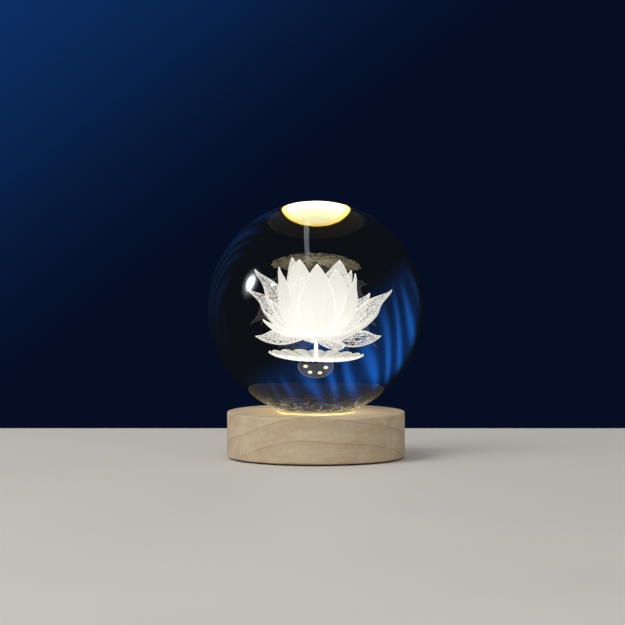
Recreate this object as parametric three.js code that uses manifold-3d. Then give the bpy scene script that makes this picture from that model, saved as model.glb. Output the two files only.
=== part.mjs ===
import * as THREE from 'three';
import { mergeVertices } from 'three/addons/utils/BufferGeometryUtils.js';
import Module from 'manifold-3d';

// Crystal ball lamp: a solid glass ball with a lotus engraved inside it stands
// on a thin clear ring, over a light well in a turned wooden base.
// Millimetres, +Z up. The origin is on the table under the ball, -Y is the
// front and the power inlet is at the back.

const wasm = await Module();
wasm.setup();

// Driving dimensions of the ball and the base
const ballRadius = 40;
const baseRadius = 33;
const baseHeight = 16.8;
const edgeBreak = 0.7;
const standOff = 0.6;

// Shared clearances and the overrun of every cutting tool
const fitGap = 0.2;
const engravingGap = 0.3;
const overrun = 1;

// Seat ring, and how far the ball's foot laps the wood round the light well
const ringThickness = 0.8;
const ringInset = 0.2;
const footLap = 2.5;

// Light well, board recess, pocket and cover rebate, from the top down. The
// rim is the wood round the cover, the ledge is the wood that the cover meets.
const wellDepth = 6.5;
const wellShare = 12 / 17;
const boardRecessDepth = 1;
const rimWidth = 5.7;
const ledgeWidth = 3.3;
const coverThickness = 2;
const coverInset = 0.2;

// Light board with its diodes and resistors. Ring shares are of its radius.
const boardThickness = 1.6;
const boardEdgeGap = 0.4;
const boardToInletGap = 0.8;
const diodeCount = 6;
const diodeRingShare = 0.506;
const diodeTurn = 175;
const diodeLength = 3.5;
const diodeWidth = 2.8;
const diodeHeight = 1.1;
const diodeCornerCut = 0.5;
const diodeLensRadius = 1.1;
const diodeLensHeight = 0.2;
const resistorLength = 2;
const resistorWidth = 1.25;
const resistorHeight = 0.5;
const resistorSpacing = 4.4;

// Inlet board, socket and the plug recess in the back wall
const inletBoardEar = 3.03;
const inletBoardThickness = 1;
const inletBoardWall = 1.2;
const inletBoardLength = 9.2;
const chamberGap = 0.4;
const plugRecessDepth = 4.8;
const plugRecessWidth = 12.8;
const plugRecessHeight = 7.2;
const plugRecessCorner = 2;
const socketWidth = 8.94;
const socketHeight = 3.2;
const socketLength = 7.35;
const socketCorner = 1.3;
const socketWall = 0.3;
const socketBackWall = 0.7;
const tongueWidth = 6.6;
const tongueThickness = 0.7;
const tongueLength = 4.6;

// Screws: light board, inlet board and cover
const boardScrew = { head: 1.4, headHeight: 0.9, shank: 0.75, length: 5.2 };
const inletScrew = { head: 1.1, headHeight: 0.7, shank: 0.55, length: 4 };
const coverScrew = { head: 1.5, headHeight: 1, shank: 0.75, length: 6.6 };
const screwCrownShare = 0.7;
const pilotGap = 0.1;
const pilotDepthGap = 0.6;
const boardScrewRingShare = 0.865;
const boardScrewTurns = [30, 150, 270];
const inletScrewFromSocket = 1.63;
const inletScrewFromBack = 4.6;
const coverScrewTurns = [30, 150, 270];
const coverScrewInset = 2.2;

// Power wires
const wireRadius = 0.6;
const wireSpacing = 3;
const wireLowShare = 0.72;
const wireSagShare = 0.22;
const wireFromBoardEdge = 7.6;
const wireFromInletFront = 1.5;
const solderGap = 0.3;
const wireSteps = 10;
const wireSides = 8;

// Foot pads
const padRadius = 4;
const padFromCoverEdge = 4.3;
const padTurns = [45, 135, 225, 315];

// Engraved lotus: sizes from its heart, which lies below the ball's centre
const flowerRadius = 20;
const flowerHeight = 20;
const heartDrop = 6.4;
const heartRadius = 2.1;
const heartHeight = 2;
const petalWidth = 10;
const petalThickness = 0.5;
const petalRootRadius = 1.2;
const petalTipHalfWidth = 0.28;
const petalRootShare = 0.3;
const petalRollShare = 0.6;
const petalTaperShare = 0.32;
const petalBluntShare = 0.25;
const stemRadius = 0.45;

// Engraved lily pad
const lilyRadius = 11.75;
const lilyDrop = 12.3;
const lilyThickness = 0.6;
const lilyDish = 1.3;
const lilyLobes = 20;
const lilyLobeDepth = 0.55;
const lilyRib = 0.35;
const lilyTilt = 9.5;
const lilySway = 2;

// Channel from the engraving down to the ball's foot
const channelRadius = 0.4;

// Counts that set how fine the facets are
const ballSides = 36;
const ballRings = 14;
const turnedSides = 48;
const smallSides = 10;
const padSides = 16;
const petalRows = 4;
const petalColumns = 2;
const cornerSteps = 2;

// Each petal is placed by its turn about the stem in degrees, -90 at the front.
// tipOutShare is of flowerRadius, tipUpShare and rootUpShare are of
// flowerHeight, widthShare is of petalWidth, fullestShare is the place along
// the petal where it is widest and bendShare is of the straight line from root
// to tip. rootLean and tipLean are angles above the horizontal, and roll is how
// far the blade rolls about its middle line, all in degrees.
const frontPetals = [
  petal(-88, 0.43, 0.965, -5, 97, 1.08, 30, 0.56),
].map((one) => ({ ...one, rootUpShare: 0.02, bendShare: 0.62 }));
const innerPetals = [
  petal(-132, 0.325, 0.99, -5, 98, 1.1, 50, 0.6),
  petal(-46, 0.375, 0.865, -5, 98, 1.02, 52, 0.54),
  petal(-158, 0.525, 0.885, -5, 86, 0.95, 55, 0.5),
  petal(-14, 0.52, 0.785, -5, 98, 0.95, 55, 0.52),
  petal(133, 0.405, 0.9, -5, 90, 1, 50, 0.55),
  petal(56, 0.475, 0.845, -5, 94, 1.3, 48, 0.6),
  petal(92, 0.34, 0.7, -5, 100, 0.9, 50, 0.55),
].map((one) => ({ ...one, rootUpShare: 0.04, bendShare: 0.48 }));
const middlePetals = [
  petal(-120, 0.4, 0.77, -5, 98, 0.98, 46, 0.55),
  petal(-135, 0.49, 0.57, -5, 92, 0.9, 46, 0.55),
  petal(38, 0.51, 0.745, -5, 86, 1.1, 50, 0.58),
  petal(150, 0.8, 0.745, -10, 60, 1.25, 48, 0.58),
  petal(26, 0.685, 0.485, -10, 72, 1.1, 45, 0.55, 14),
  petal(112, 0.66, 0.62, -8, 70, 1, 45, 0.55),
].map((one) => ({ ...one, rootUpShare: 0.015, bendShare: 0.42 }));
const outerPetals = [
  petal(176, 0.85, 0.56, -10, 48, 1, 50, 0.52, -24),
  petal(-158, 0.76, 0.195, -10, 44, 0.9, 40, 0.5, -5),
  petal(2, 0.965, 0.56, -8, 58, 1.2, 55, 0.54, 26),
  petal(140, 0.72, 0.26, -10, 50, 0.95, 45, 0.5),
  petal(62, 0.8, 0.28, -10, 56, 0.95, 45, 0.5),
].map((one) => ({ ...one, rootUpShare: 0, bendShare: 0.42 }));
const droopingPetals = [
  petal(-172, 0.785, -0.025, -18, 24, 0.85, 42, 0.52, -28),
  petal(-24, 0.63, 0.085, -22, 34, 0.7, 35, 0.56, 34),
  petal(-10, 0.865, -0.025, -20, 30, 0.94, 42, 0.55, 30),
  petal(-56, 0.56, -0.22, -28, -5, 0.82, 30, 0.52),
  petal(96, 0.7, 0.05, -18, 34, 0.75, 40, 0.5),
].map((one) => ({ ...one, rootUpShare: -0.015, bendShare: 0.4 }));

// Sizes and places that follow, from the base's outside inwards: the inlet
// board fits behind the light board, and the well and the foot fit that board.
const recessFloor = baseRadius - plugRecessDepth;
const chamberBack = recessFloor - inletBoardWall;
const inletBoardFront = chamberBack - inletBoardLength;
const inletBoardWidth = socketWidth + 2 * inletBoardEar;
const inletScrewSpacing = socketWidth + 2 * inletScrewFromSocket;
const boardRadius = inletBoardFront - boardToInletGap;
const wellRadius = boardRadius * wellShare;
const footRadius = wellRadius + footLap;
const diodeRingRadius = boardRadius * diodeRingShare;
const boardScrewRingRadius = boardRadius * boardScrewRingShare;
const coverRadius = baseRadius - rimWidth;
const coverScrewRingRadius = coverRadius - coverScrewInset;
const pocketRadius = coverRadius - ledgeWidth;
const padRingRadius = coverRadius - padFromCoverEdge - padRadius;
const baseTop = standOff + baseHeight;
const boardTop = baseTop - wellDepth;
const boardBottom = boardTop - boardThickness;
const pocketTop = boardTop - boardRecessDepth;
const coverBottom = standOff + coverInset;
const coverTop = coverBottom + coverThickness;
const footHeight = baseTop + ringThickness;
const footDrop = Math.sqrt(ballRadius ** 2 - footRadius ** 2);
const ballCentreHeight = footHeight + footDrop;
const heartHeightInBall = -heartDrop;
const lilyTop = -lilyDrop;
const inletBoardTop = pocketTop;
const inletBoardBottom = inletBoardTop - inletBoardThickness;
const socketHeightAtCentre = inletBoardBottom - socketHeight / 2;

const materials = {
  glass: finish(0xdde6ea, 0.02, 0, 0.35),
  engraving: finish(0xfaf4e4, 0.85, 0),
  wood: finish(0xceb896, 0.72, 0),
  clearSilicone: finish(0xf2efe4, 0.3, 0, 0.6),
  whiteBoard: finish(0xf0eee6, 0.45, 0),
  greenBoard: finish(0x2c5e43, 0.45, 0),
  diode: finish(0xf3dc8c, 0.35, 0),
  chip: finish(0x24221f, 0.5, 0),
  tinnedSteel: finish(0xb9bcbd, 0.28, 1),
  screwSteel: finish(0x9c9ea0, 0.34, 1),
  blackPlastic: finish(0x1b1b1c, 0.55, 0),
  redInsulation: finish(0xb3261e, 0.5, 0),
  blackInsulation: finish(0x18181a, 0.5, 0),
  cover: finish(0x2a2826, 0.62, 0),
  rubber: finish(0x232323, 0.9, 0),
};

function finish(color, roughness, metalness, opacity = 1) {
  return new THREE.MeshStandardMaterial({
    color,
    roughness,
    metalness,
    opacity,
    transparent: opacity < 1,
  });
}

function petal(turn, tipOutShare, tipUpShare, rootLean, tipLean, widthShare, cup, fullestShare, roll = 0) {
  return { turn, tipOutShare, tipUpShare, rootLean, tipLean, widthShare, cup, fullestShare, roll };
}

function radians(degrees) {
  return THREE.MathUtils.degToRad(degrees);
}

function around(radius, degrees) {
  return [radius * Math.cos(radians(degrees)), radius * Math.sin(radians(degrees))];
}

// Closed meshes become solids here, once points that lie together are one
// point and triangles that shrank to a line are gone.
function solid(geometry) {
  const bare = new THREE.BufferGeometry();
  bare.setAttribute('position', geometry.getAttribute('position').clone());
  if (geometry.index) {
    bare.setIndex(geometry.index.clone());
  }
  const merged = mergeVertices(bare);
  const corners = merged.index.array;
  const kept = [];
  for (let i = 0; i < corners.length; i += 3) {
    const [a, b, c] = [corners[i], corners[i + 1], corners[i + 2]];
    if (a !== b && b !== c && c !== a) {
      kept.push(a, b, c);
    }
  }
  return new wasm.Manifold(new wasm.Mesh({
    numProp: 3,
    vertProperties: new Float32Array(merged.getAttribute('position').array),
    triVerts: new Uint32Array(kept),
  }));
}

function geometryOf(body) {
  const mesh = body.getMesh();
  const geometry = new THREE.BufferGeometry();
  geometry.setAttribute('position', new THREE.BufferAttribute(new Float32Array(mesh.vertProperties), 3));
  geometry.setIndex(new THREE.BufferAttribute(new Uint32Array(mesh.triVerts), 1));
  geometry.computeVertexNormals();
  return geometry;
}

function cut(geometry, tools) {
  const body = tools.reduce((rest, tool) => rest.subtract(solid(tool)), solid(geometry));
  return geometryOf(body);
}

function join(geometries) {
  const [first, ...others] = geometries;
  return geometryOf(others.reduce((sum, other) => sum.add(solid(other)), solid(first)));
}

// Where petals cross, they shut in small pockets. This keeps the outer skin
// alone, the one with the widest reach, and drops what is shut in.
function outerSkin(geometry) {
  const corners = geometry.index.array;
  const positions = geometry.getAttribute('position');
  const parent = Array.from({ length: positions.count }, (_, i) => i);
  const rootOf = (point) => {
    let root = point;
    while (parent[root] !== root) {
      root = parent[root];
    }
    parent[point] = root;
    return root;
  };
  for (let i = 0; i < corners.length; i += 3) {
    parent[rootOf(corners[i + 1])] = rootOf(corners[i]);
    parent[rootOf(corners[i + 2])] = rootOf(corners[i]);
  }
  const reach = new Map();
  for (let i = 0; i < positions.count; i += 1) {
    const size = Math.hypot(positions.getX(i), positions.getY(i));
    reach.set(rootOf(i), Math.max(reach.get(rootOf(i)) ?? 0, size));
  }
  const widest = [...reach].reduce((best, next) => (next[1] > best[1] ? next : best))[0];
  const kept = [];
  for (let i = 0; i < corners.length; i += 3) {
    if (rootOf(corners[i]) === widest) {
      kept.push(corners[i], corners[i + 1], corners[i + 2]);
    }
  }
  geometry.setIndex(kept);
  return geometry;
}

// A profile of [radius, height] pairs, from the bottom up the outside, turned
// about the Z axis.
function turned(profile, sides) {
  const points = profile.map(([radius, height]) => new THREE.Vector2(radius, height));
  return new THREE.LatheGeometry(points, sides).rotateX(Math.PI / 2);
}

function disc(radius, bottom, top, sides, x = 0, y = 0) {
  const profile = [[0, bottom], [radius, bottom], [radius, top], [0, top]];
  return turned(profile, sides).translate(x, y, 0);
}

function roundedRectangle(width, height, corner) {
  const x = width / 2 - corner;
  const y = height / 2 - corner;
  const shape = new THREE.Shape();
  shape.absarc(x, y, corner, 0, Math.PI / 2);
  shape.absarc(-x, y, corner, Math.PI / 2, Math.PI);
  shape.absarc(-x, -y, corner, Math.PI, Math.PI * 1.5);
  shape.absarc(x, -y, corner, Math.PI * 1.5, Math.PI * 2);
  return shape;
}

// An outline in X and Z, run along Y from front to back.
function runBackwards(shape, front, back, height) {
  const settings = { depth: back - front, bevelEnabled: false, curveSegments: cornerSteps };
  return new THREE.ExtrudeGeometry(shape, settings)
    .rotateX(Math.PI / 2)
    .translate(0, back, height);
}

function block(width, length, height, x, y, bottom) {
  return new THREE.BoxGeometry(width, length, height).translate(x, y, bottom + height / 2);
}

// A screw driven upwards: its head's underside is at the height given.
function screwUp(screw, x, y, headTop) {
  const profile = [
    [0, headTop - screw.headHeight],
    [screw.head * screwCrownShare, headTop - screw.headHeight],
    [screw.head, headTop - screw.headHeight / 2],
    [screw.head, headTop],
    [screw.shank, headTop],
    [screw.shank, headTop + screw.length - screw.shank],
    [0, headTop + screw.length],
  ];
  return turned(profile, smallSides).translate(x, y, 0);
}

// A countersunk screw driven upwards, with its flat head flush at the bottom.
function countersunkUp(screw, x, y, bottom) {
  const profile = [
    [0, bottom],
    [screw.head, bottom],
    [screw.shank, bottom + screw.headHeight],
    [screw.shank, bottom + screw.length - screw.shank],
    [0, bottom + screw.length],
  ];
  return turned(profile, smallSides).translate(x, y, 0);
}

// Ball of solid glass, ground flat at the foot, in its own centred frame.
function ballGlass() {
  const footAngle = Math.asin(-footDrop / ballRadius);
  const profile = [[0, -footDrop]];
  for (let ring = 0; ring < ballRings; ring += 1) {
    const angle = footAngle + (Math.PI / 2 - footAngle) * ring / ballRings;
    profile.push([ballRadius * Math.cos(angle), ballRadius * Math.sin(angle)]);
  }
  profile.push([0, ballRadius]);
  return turned(profile, ballSides);
}

// One petal as a cupped blade. Its middle line is a cubic curve in the upright
// plane through the stem. A gap above zero grows it on every side.
function petalBlade(shape, gap) {
  const heart = heartHeightInBall;
  const root = new THREE.Vector2(petalRootRadius, heart + shape.rootUpShare * flowerHeight);
  const tip = new THREE.Vector2(shape.tipOutShare * flowerRadius, heart + shape.tipUpShare * flowerHeight);
  const bend = shape.bendShare * root.distanceTo(tip);
  const rootHandle = new THREE.Vector2(...around(bend, shape.rootLean)).add(root);
  const tipHandle = tip.clone().sub(new THREE.Vector2(...around(bend, shape.tipLean)));
  const middleLine = new THREE.CubicBezierCurve(root, rootHandle, tipHandle, tip);
  const widest = shape.widthShare * petalWidth / 2;
  const curl = widest / radians(shape.cup);
  const thick = petalThickness / 2 + gap;
  const stations = [];
  for (let row = 0; row <= petalRows; row += 1) {
    const along = row / petalRows;
    stations.push({
      place: middleLine.getPoint(along),
      heading: middleLine.getTangent(along),
      half: Math.max(widest * petalOutline(along, shape.fullestShare), petalTipHalfWidth),
      roll: radians(shape.roll) * Math.sin(Math.PI / 2 * Math.min(along / petalRollShare, 1)),
    });
  }
  if (gap > 0) {
    const first = stations[0];
    const last = stations[petalRows];
    stations.unshift({ ...first, place: first.place.clone().addScaledVector(first.heading, -gap) });
    stations.push({ ...last, place: last.place.clone().addScaledVector(last.heading, gap) });
  }
  const layers = [curl - thick, curl + thick].map((radius) => stations.map((station) => {
    const inward = new THREE.Vector2(-station.heading.y, station.heading.x);
    const points = [];
    for (let column = 0; column <= petalColumns; column += 1) {
      const angle = (2 * column / petalColumns - 1) * (station.half + gap) / curl;
      const section = new THREE.Vector2(radius * Math.sin(angle), curl - radius * Math.cos(angle));
      const { x: aside, y: lift } = section.rotateAround(new THREE.Vector2(), station.roll);
      const spot = station.place.clone().addScaledVector(inward, lift);
      points.push(new THREE.Vector3(spot.x, aside, spot.y));
    }
    return points;
  }));
  return sheetSolid(layers[0], layers[1]).rotateZ(radians(shape.turn));
}

// Half width along a petal, as a share of its widest half width.
function petalOutline(along, fullest) {
  if (along < fullest) {
    return petalRootShare + (1 - petalRootShare) * Math.sin(Math.PI / 2 * along / fullest);
  }
  const onwards = (along - fullest) / (1 - fullest);
  const tapered = onwards * (1 - petalTaperShare * (1 - onwards));
  const narrowing = Math.max(Math.cos(Math.PI / 2 * tapered), 0);
  return (1 - petalBluntShare) * narrowing + petalBluntShare * Math.sqrt(narrowing);
}

// Closes two grids of points, the upper and the lower face of a sheet.
function sheetSolid(upper, lower) {
  const rows = upper.length;
  const columns = upper[0].length;
  const positions = [...upper.flat(), ...lower.flat()].flatMap((point) => point.toArray());
  const top = (row, column) => row * columns + column;
  const bottom = (row, column) => (rows + row) * columns + column;
  const corners = [];
  const quad = (a, b, c, d) => corners.push(a, b, c, a, c, d);
  for (let row = 0; row < rows - 1; row += 1) {
    for (let column = 0; column < columns - 1; column += 1) {
      quad(top(row, column), top(row + 1, column), top(row + 1, column + 1), top(row, column + 1));
      const [near, far] = [bottom(row, column), bottom(row + 1, column)];
      quad(near, bottom(row, column + 1), bottom(row + 1, column + 1), far);
    }
    quad(top(row, 0), bottom(row, 0), bottom(row + 1, 0), top(row + 1, 0));
    const last = columns - 1;
    quad(top(row, last), top(row + 1, last), bottom(row + 1, last), bottom(row, last));
  }
  for (let column = 0; column < columns - 1; column += 1) {
    const last = rows - 1;
    quad(top(0, column), top(0, column + 1), bottom(0, column + 1), bottom(0, column));
    quad(top(last, column), bottom(last, column), bottom(last, column + 1), top(last, column + 1));
  }
  const geometry = new THREE.BufferGeometry();
  geometry.setAttribute('position', new THREE.Float32BufferAttribute(positions, 3));
  geometry.setIndex(corners);
  return geometry;
}

// The flower's heart, where all the petals meet.
function heartOf(gap) {
  const bottom = heartHeightInBall - heartHeight / 2 - gap;
  const top = heartHeightInBall + heartHeight / 2 + gap;
  const wide = heartRadius + gap;
  const profile = [[0, bottom], [wide / 2, bottom], [wide, heartHeightInBall], [wide / 2, top], [0, top]];
  return turned(profile, smallSides);
}

function flowerOf(gap) {
  const petals = [...frontPetals, ...innerPetals, ...middlePetals, ...outerPetals, ...droopingPetals];
  return outerSkin(join([heartOf(gap), ...petals.map((one) => petalBlade(one, gap))]));
}

function stemOf(gap) {
  const top = heartHeightInBall - heartHeight / 2;
  return disc(stemRadius + gap, lilyTop + engravingGap - gap, top, smallSides);
}

// Lily pad: a shallow dish with a scalloped rim and a rib between lobes.
function lilyPadOf(gap) {
  const steps = lilyLobes * 2;
  const radiusShares = [0.6, 1];
  const faces = [gap, -lilyThickness - gap];
  const positions = faces.flatMap((lift) => [
    [0, 0, lift],
    ...radiusShares.flatMap((radiusShare) => Array.from({ length: steps }, (_, step) => {
      const isLobe = step % 2 === 0;
      const lobe = isLobe ? 0 : lilyLobeDepth * radiusShare;
      const edgeGap = radiusShare === 1 ? gap : 0;
      const radius = radiusShare * lilyRadius - lobe + edgeGap;
      const rise = lilyDish * radiusShare ** 3 - (isLobe ? 0 : lilyRib * radiusShare);
      const [x, y] = around(radius, 360 * step / steps);
      return [x, y, rise + lift];
    })),
  ]).flat();
  const pointsPerFace = 1 + radiusShares.length * steps;
  const at = (face, ring, step) => face * pointsPerFace + 1 + ring * steps + step % steps;
  const corners = [];
  for (let step = 0; step < steps; step += 1) {
    corners.push(0, at(0, 0, step), at(0, 0, step + 1));
    corners.push(pointsPerFace, at(1, 0, step + 1), at(1, 0, step));
    for (let ring = 0; ring < radiusShares.length - 1; ring += 1) {
      const [a, b] = [at(0, ring, step), at(0, ring + 1, step)];
      const [c, d] = [at(0, ring + 1, step + 1), at(0, ring, step + 1)];
      corners.push(a, b, c, a, c, d);
      const shift = pointsPerFace;
      corners.push(a + shift, c + shift, b + shift, a + shift, d + shift, c + shift);
    }
    const rim = radiusShares.length - 1;
    const [a, b] = [at(0, rim, step), at(0, rim, step + 1)];
    corners.push(a, a + pointsPerFace, b + pointsPerFace, a, b + pointsPerFace, b);
  }
  const geometry = new THREE.BufferGeometry();
  geometry.setAttribute('position', new THREE.Float32BufferAttribute(positions, 3));
  geometry.setIndex(corners);
  return geometry.rotateX(radians(lilyTilt)).rotateY(radians(lilySway)).translate(0, 0, lilyTop);
}

// The engraving lies in the glass with a hair-thin gap round it, and a thin
// channel from that gap to the foot keeps the ball one closed body.
function crystalBall() {
  const engraving = join([
    flowerOf(engravingGap),
    stemOf(engravingGap),
    lilyPadOf(engravingGap),
    disc(channelRadius, -footDrop - overrun, lilyTop - lilyThickness, smallSides),
  ]);
  return outerSkin(cut(ballGlass(), [engraving]));
}

// Turned wooden base: light well from above, pocket and cover rebate from
// below, plug recess and socket hole from the back, and blind screw holes.
function woodenBase() {
  const rebateRadius = coverRadius + fitGap;
  const boardRecessRadius = boardRadius + boardEdgeGap;
  const profile = [
    [rebateRadius, standOff],
    [baseRadius - edgeBreak, standOff],
    [baseRadius, standOff + edgeBreak],
    [baseRadius, baseTop - edgeBreak],
    [baseRadius - edgeBreak, baseTop],
    [wellRadius, baseTop],
    [wellRadius, boardTop],
    [boardRecessRadius, boardTop],
    [boardRecessRadius, pocketTop],
    [pocketRadius, pocketTop],
    [pocketRadius, coverTop],
    [rebateRadius, coverTop],
    [rebateRadius, standOff],
  ];
  const chamberLength = chamberBack + chamberGap - inletBoardFront;
  const chamber = block(
    inletBoardWidth + 2 * chamberGap,
    chamberLength,
    inletBoardTop - coverTop + overrun,
    0,
    chamberBack + chamberGap - chamberLength / 2,
    coverTop - overrun,
  );
  const plugRecess = runBackwards(
    roundedRectangle(plugRecessWidth, plugRecessHeight, plugRecessCorner),
    recessFloor,
    baseRadius + overrun,
    socketHeightAtCentre,
  );
  const socketHole = runBackwards(
    roundedRectangle(socketWidth + 2 * fitGap, socketHeight + 2 * fitGap, socketCorner + fitGap),
    chamberBack - overrun,
    recessFloor + overrun,
    socketHeightAtCentre,
  );
  return cut(turned(profile, turnedSides), [
    chamber,
    plugRecess,
    socketHole,
    ...boardScrewPlaces().map(([x, y]) => pilotHole(boardScrew, x, y, boardBottom, boardTop)),
    ...inletScrewPlaces().map(([x, y]) => pilotHole(inletScrew, x, y, inletBoardBottom, inletBoardTop)),
    ...coverScrewPlaces().map(([x, y]) => pilotHole(coverScrew, x, y, coverBottom, coverTop)),
  ]);
}

// Blind hole in the wood for a screw that starts at the height from.
function pilotHole(screw, x, y, from, woodFace) {
  const top = from + screw.length + pilotDepthGap;
  return disc(screw.shank + pilotGap, woodFace - overrun / 2, top, smallSides, x, y);
}

function boardScrewPlaces() {
  return boardScrewTurns.map((turn) => around(boardScrewRingRadius, turn));
}

function inletScrewPlaces() {
  const y = chamberBack - inletScrewFromBack;
  return [[-inletScrewSpacing / 2, y], [inletScrewSpacing / 2, y]];
}

function coverScrewPlaces() {
  return coverScrewTurns.map((turn) => around(coverScrewRingRadius, turn));
}

// Clear ring that the ball's foot stands on.
function seatRing() {
  const inner = wellRadius + ringInset;
  const outer = footRadius - ringInset;
  const bottom = [[inner, baseTop], [outer, baseTop]];
  const top = [[outer, footHeight], [inner, footHeight]];
  return turned([...bottom, ...top, bottom[0]], turnedSides);
}

function lightBoard() {
  const holes = boardScrewPlaces().map(([x, y]) => (
    disc(boardScrew.shank + pilotGap, boardBottom - overrun, boardTop + overrun, smallSides, x, y)
  ));
  return cut(disc(boardRadius, boardBottom, boardTop, turnedSides), holes);
}

// A diode's moulded body with one corner cut, and its round lens on top.
function diode(turn) {
  const [x, y] = [diodeLength / 2, diodeWidth / 2];
  const outline = new THREE.Shape([
    new THREE.Vector2(-x, -y),
    new THREE.Vector2(x, -y),
    new THREE.Vector2(x, y - diodeCornerCut),
    new THREE.Vector2(x - diodeCornerCut, y),
    new THREE.Vector2(-x, y),
  ]);
  const body = new THREE.ExtrudeGeometry(outline, { depth: diodeHeight, bevelEnabled: false });
  const lens = disc(diodeLensRadius, diodeHeight / 2, diodeHeight + diodeLensHeight, smallSides);
  return join([body, lens])
    .rotateZ(radians(turn + 90))
    .translate(...around(diodeRingRadius, turn), boardTop);
}

function resistor(x) {
  return block(resistorWidth, resistorLength, resistorHeight, x, 0, boardTop);
}

function inletBoard() {
  const middle = chamberBack - inletBoardLength / 2;
  const plate = block(inletBoardWidth, inletBoardLength, inletBoardThickness, 0, middle, inletBoardBottom);
  const holes = inletScrewPlaces().map(([x, y]) => (
    disc(inletScrew.shank + pilotGap, inletBoardBottom - overrun, inletBoardTop + overrun, smallSides, x, y)
  ));
  return cut(plate, holes);
}

// Metal shell of the socket: a flat tube with a back wall, open at the back of
// the lamp, where the plug goes in.
function socketShell() {
  const front = recessFloor - socketLength;
  const outside = runBackwards(
    roundedRectangle(socketWidth, socketHeight, socketCorner),
    front,
    recessFloor,
    socketHeightAtCentre,
  );
  const [insideWidth, insideHeight] = [socketWidth - 2 * socketWall, socketHeight - 2 * socketWall];
  const inside = runBackwards(
    roundedRectangle(insideWidth, insideHeight, socketCorner - socketWall),
    front + socketBackWall,
    recessFloor + overrun,
    socketHeightAtCentre,
  );
  return cut(outside, [inside]);
}

function socketTongue() {
  const root = recessFloor - socketLength + socketBackWall;
  const bottom = socketHeightAtCentre - tongueThickness / 2;
  return block(tongueWidth, tongueLength, tongueThickness, 0, root + tongueLength / 2, bottom);
}

// Wire from under the light board to under the inlet board, in one low loop.
function powerWire(x) {
  const lightEnd = boardBottom - solderGap;
  const inletEnd = inletBoardBottom - solderGap;
  const start = boardRadius - wireFromBoardEdge;
  const end = inletBoardFront + wireFromInletFront;
  const room = Math.min(lightEnd, inletEnd) - coverTop;
  const low = coverTop + room * wireLowShare;
  const lowest = low - room * wireSagShare;
  const route = new THREE.CatmullRomCurve3([
    new THREE.Vector3(x, start, lightEnd),
    new THREE.Vector3(x, start, (lightEnd + low) / 2),
    new THREE.Vector3(x, (3 * start + end) / 4, lowest),
    new THREE.Vector3(x, (start + 3 * end) / 4, lowest),
    new THREE.Vector3(x, end, (inletEnd + low) / 2),
    new THREE.Vector3(x, end, inletEnd),
  ], false, 'centripetal');
  const section = new THREE.Shape();
  section.absarc(0, 0, wireRadius, 0, Math.PI * 2);
  return new THREE.ExtrudeGeometry(section, {
    steps: wireSteps,
    curveSegments: wireSides / 2,
    extrudePath: route,
    bevelEnabled: false,
  });
}

function bottomCover() {
  const holes = coverScrewPlaces().map(([x, y]) => turned([
    [0, coverBottom - overrun],
    [coverScrew.head + pilotGap, coverBottom - overrun],
    [coverScrew.head + pilotGap, coverBottom],
    [coverScrew.shank + pilotGap, coverBottom + coverScrew.headHeight],
    [coverScrew.shank + pilotGap, coverTop + overrun],
    [0, coverTop + overrun],
  ], smallSides).translate(x, y, 0));
  return cut(disc(coverRadius, coverBottom, coverTop, turnedSides), holes);
}

function footPad([x, y]) {
  return disc(padRadius, 0, coverBottom, padSides, x, y);
}

function piece(group, name, geometry, material) {
  const mesh = new THREE.Mesh(geometry, material);
  mesh.name = name;
  group.add(mesh);
}

function buildBase() {
  const base = new THREE.Group();
  piece(base, 'wooden_base', woodenBase(), materials.wood);
  piece(base, 'seat_ring', seatRing(), materials.clearSilicone);
  piece(base, 'light_board', lightBoard(), materials.whiteBoard);
  for (let i = 0; i < diodeCount; i += 1) {
    piece(base, `diode_${i + 1}`, diode(diodeTurn + 360 * i / diodeCount), materials.diode);
  }
  piece(base, 'resistor_1', resistor(-resistorSpacing / 2), materials.chip);
  piece(base, 'resistor_2', resistor(resistorSpacing / 2), materials.chip);
  boardScrewPlaces().forEach(([x, y], i) => {
    piece(base, `board_screw_${i + 1}`, screwUp(boardScrew, x, y, boardBottom), materials.screwSteel);
  });
  piece(base, 'inlet_board', inletBoard(), materials.greenBoard);
  inletScrewPlaces().forEach(([x, y], i) => {
    piece(base, `inlet_screw_${i + 1}`, screwUp(inletScrew, x, y, inletBoardBottom), materials.screwSteel);
  });
  piece(base, 'socket_shell', socketShell(), materials.tinnedSteel);
  piece(base, 'socket_tongue', socketTongue(), materials.blackPlastic);
  piece(base, 'power_wire_red', powerWire(-wireSpacing / 2), materials.redInsulation);
  piece(base, 'power_wire_black', powerWire(wireSpacing / 2), materials.blackInsulation);
  piece(base, 'bottom_cover', bottomCover(), materials.cover);
  coverScrewPlaces().forEach(([x, y], i) => {
    piece(base, `cover_screw_${i + 1}`, countersunkUp(coverScrew, x, y, coverBottom), materials.screwSteel);
  });
  padTurns.forEach((turn, i) => {
    piece(base, `foot_pad_${i + 1}`, footPad(around(padRingRadius, turn)), materials.rubber);
  });
  return base;
}

function buildBall() {
  const ball = new THREE.Group();
  piece(ball, 'crystal_ball', crystalBall(), materials.glass);
  piece(ball, 'lotus_flower', flowerOf(0), materials.engraving);
  piece(ball, 'lotus_stem', stemOf(0), materials.engraving);
  piece(ball, 'lily_pad', lilyPadOf(0), materials.engraving);
  ball.position.z = ballCentreHeight;
  return ball;
}

const lamp = new THREE.Group();
lamp.add(buildBase(), buildBall());

export default lamp;
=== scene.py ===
import math

import bmesh
import bpy
import numpy as np
from mathutils import Matrix, Vector, noise


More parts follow.
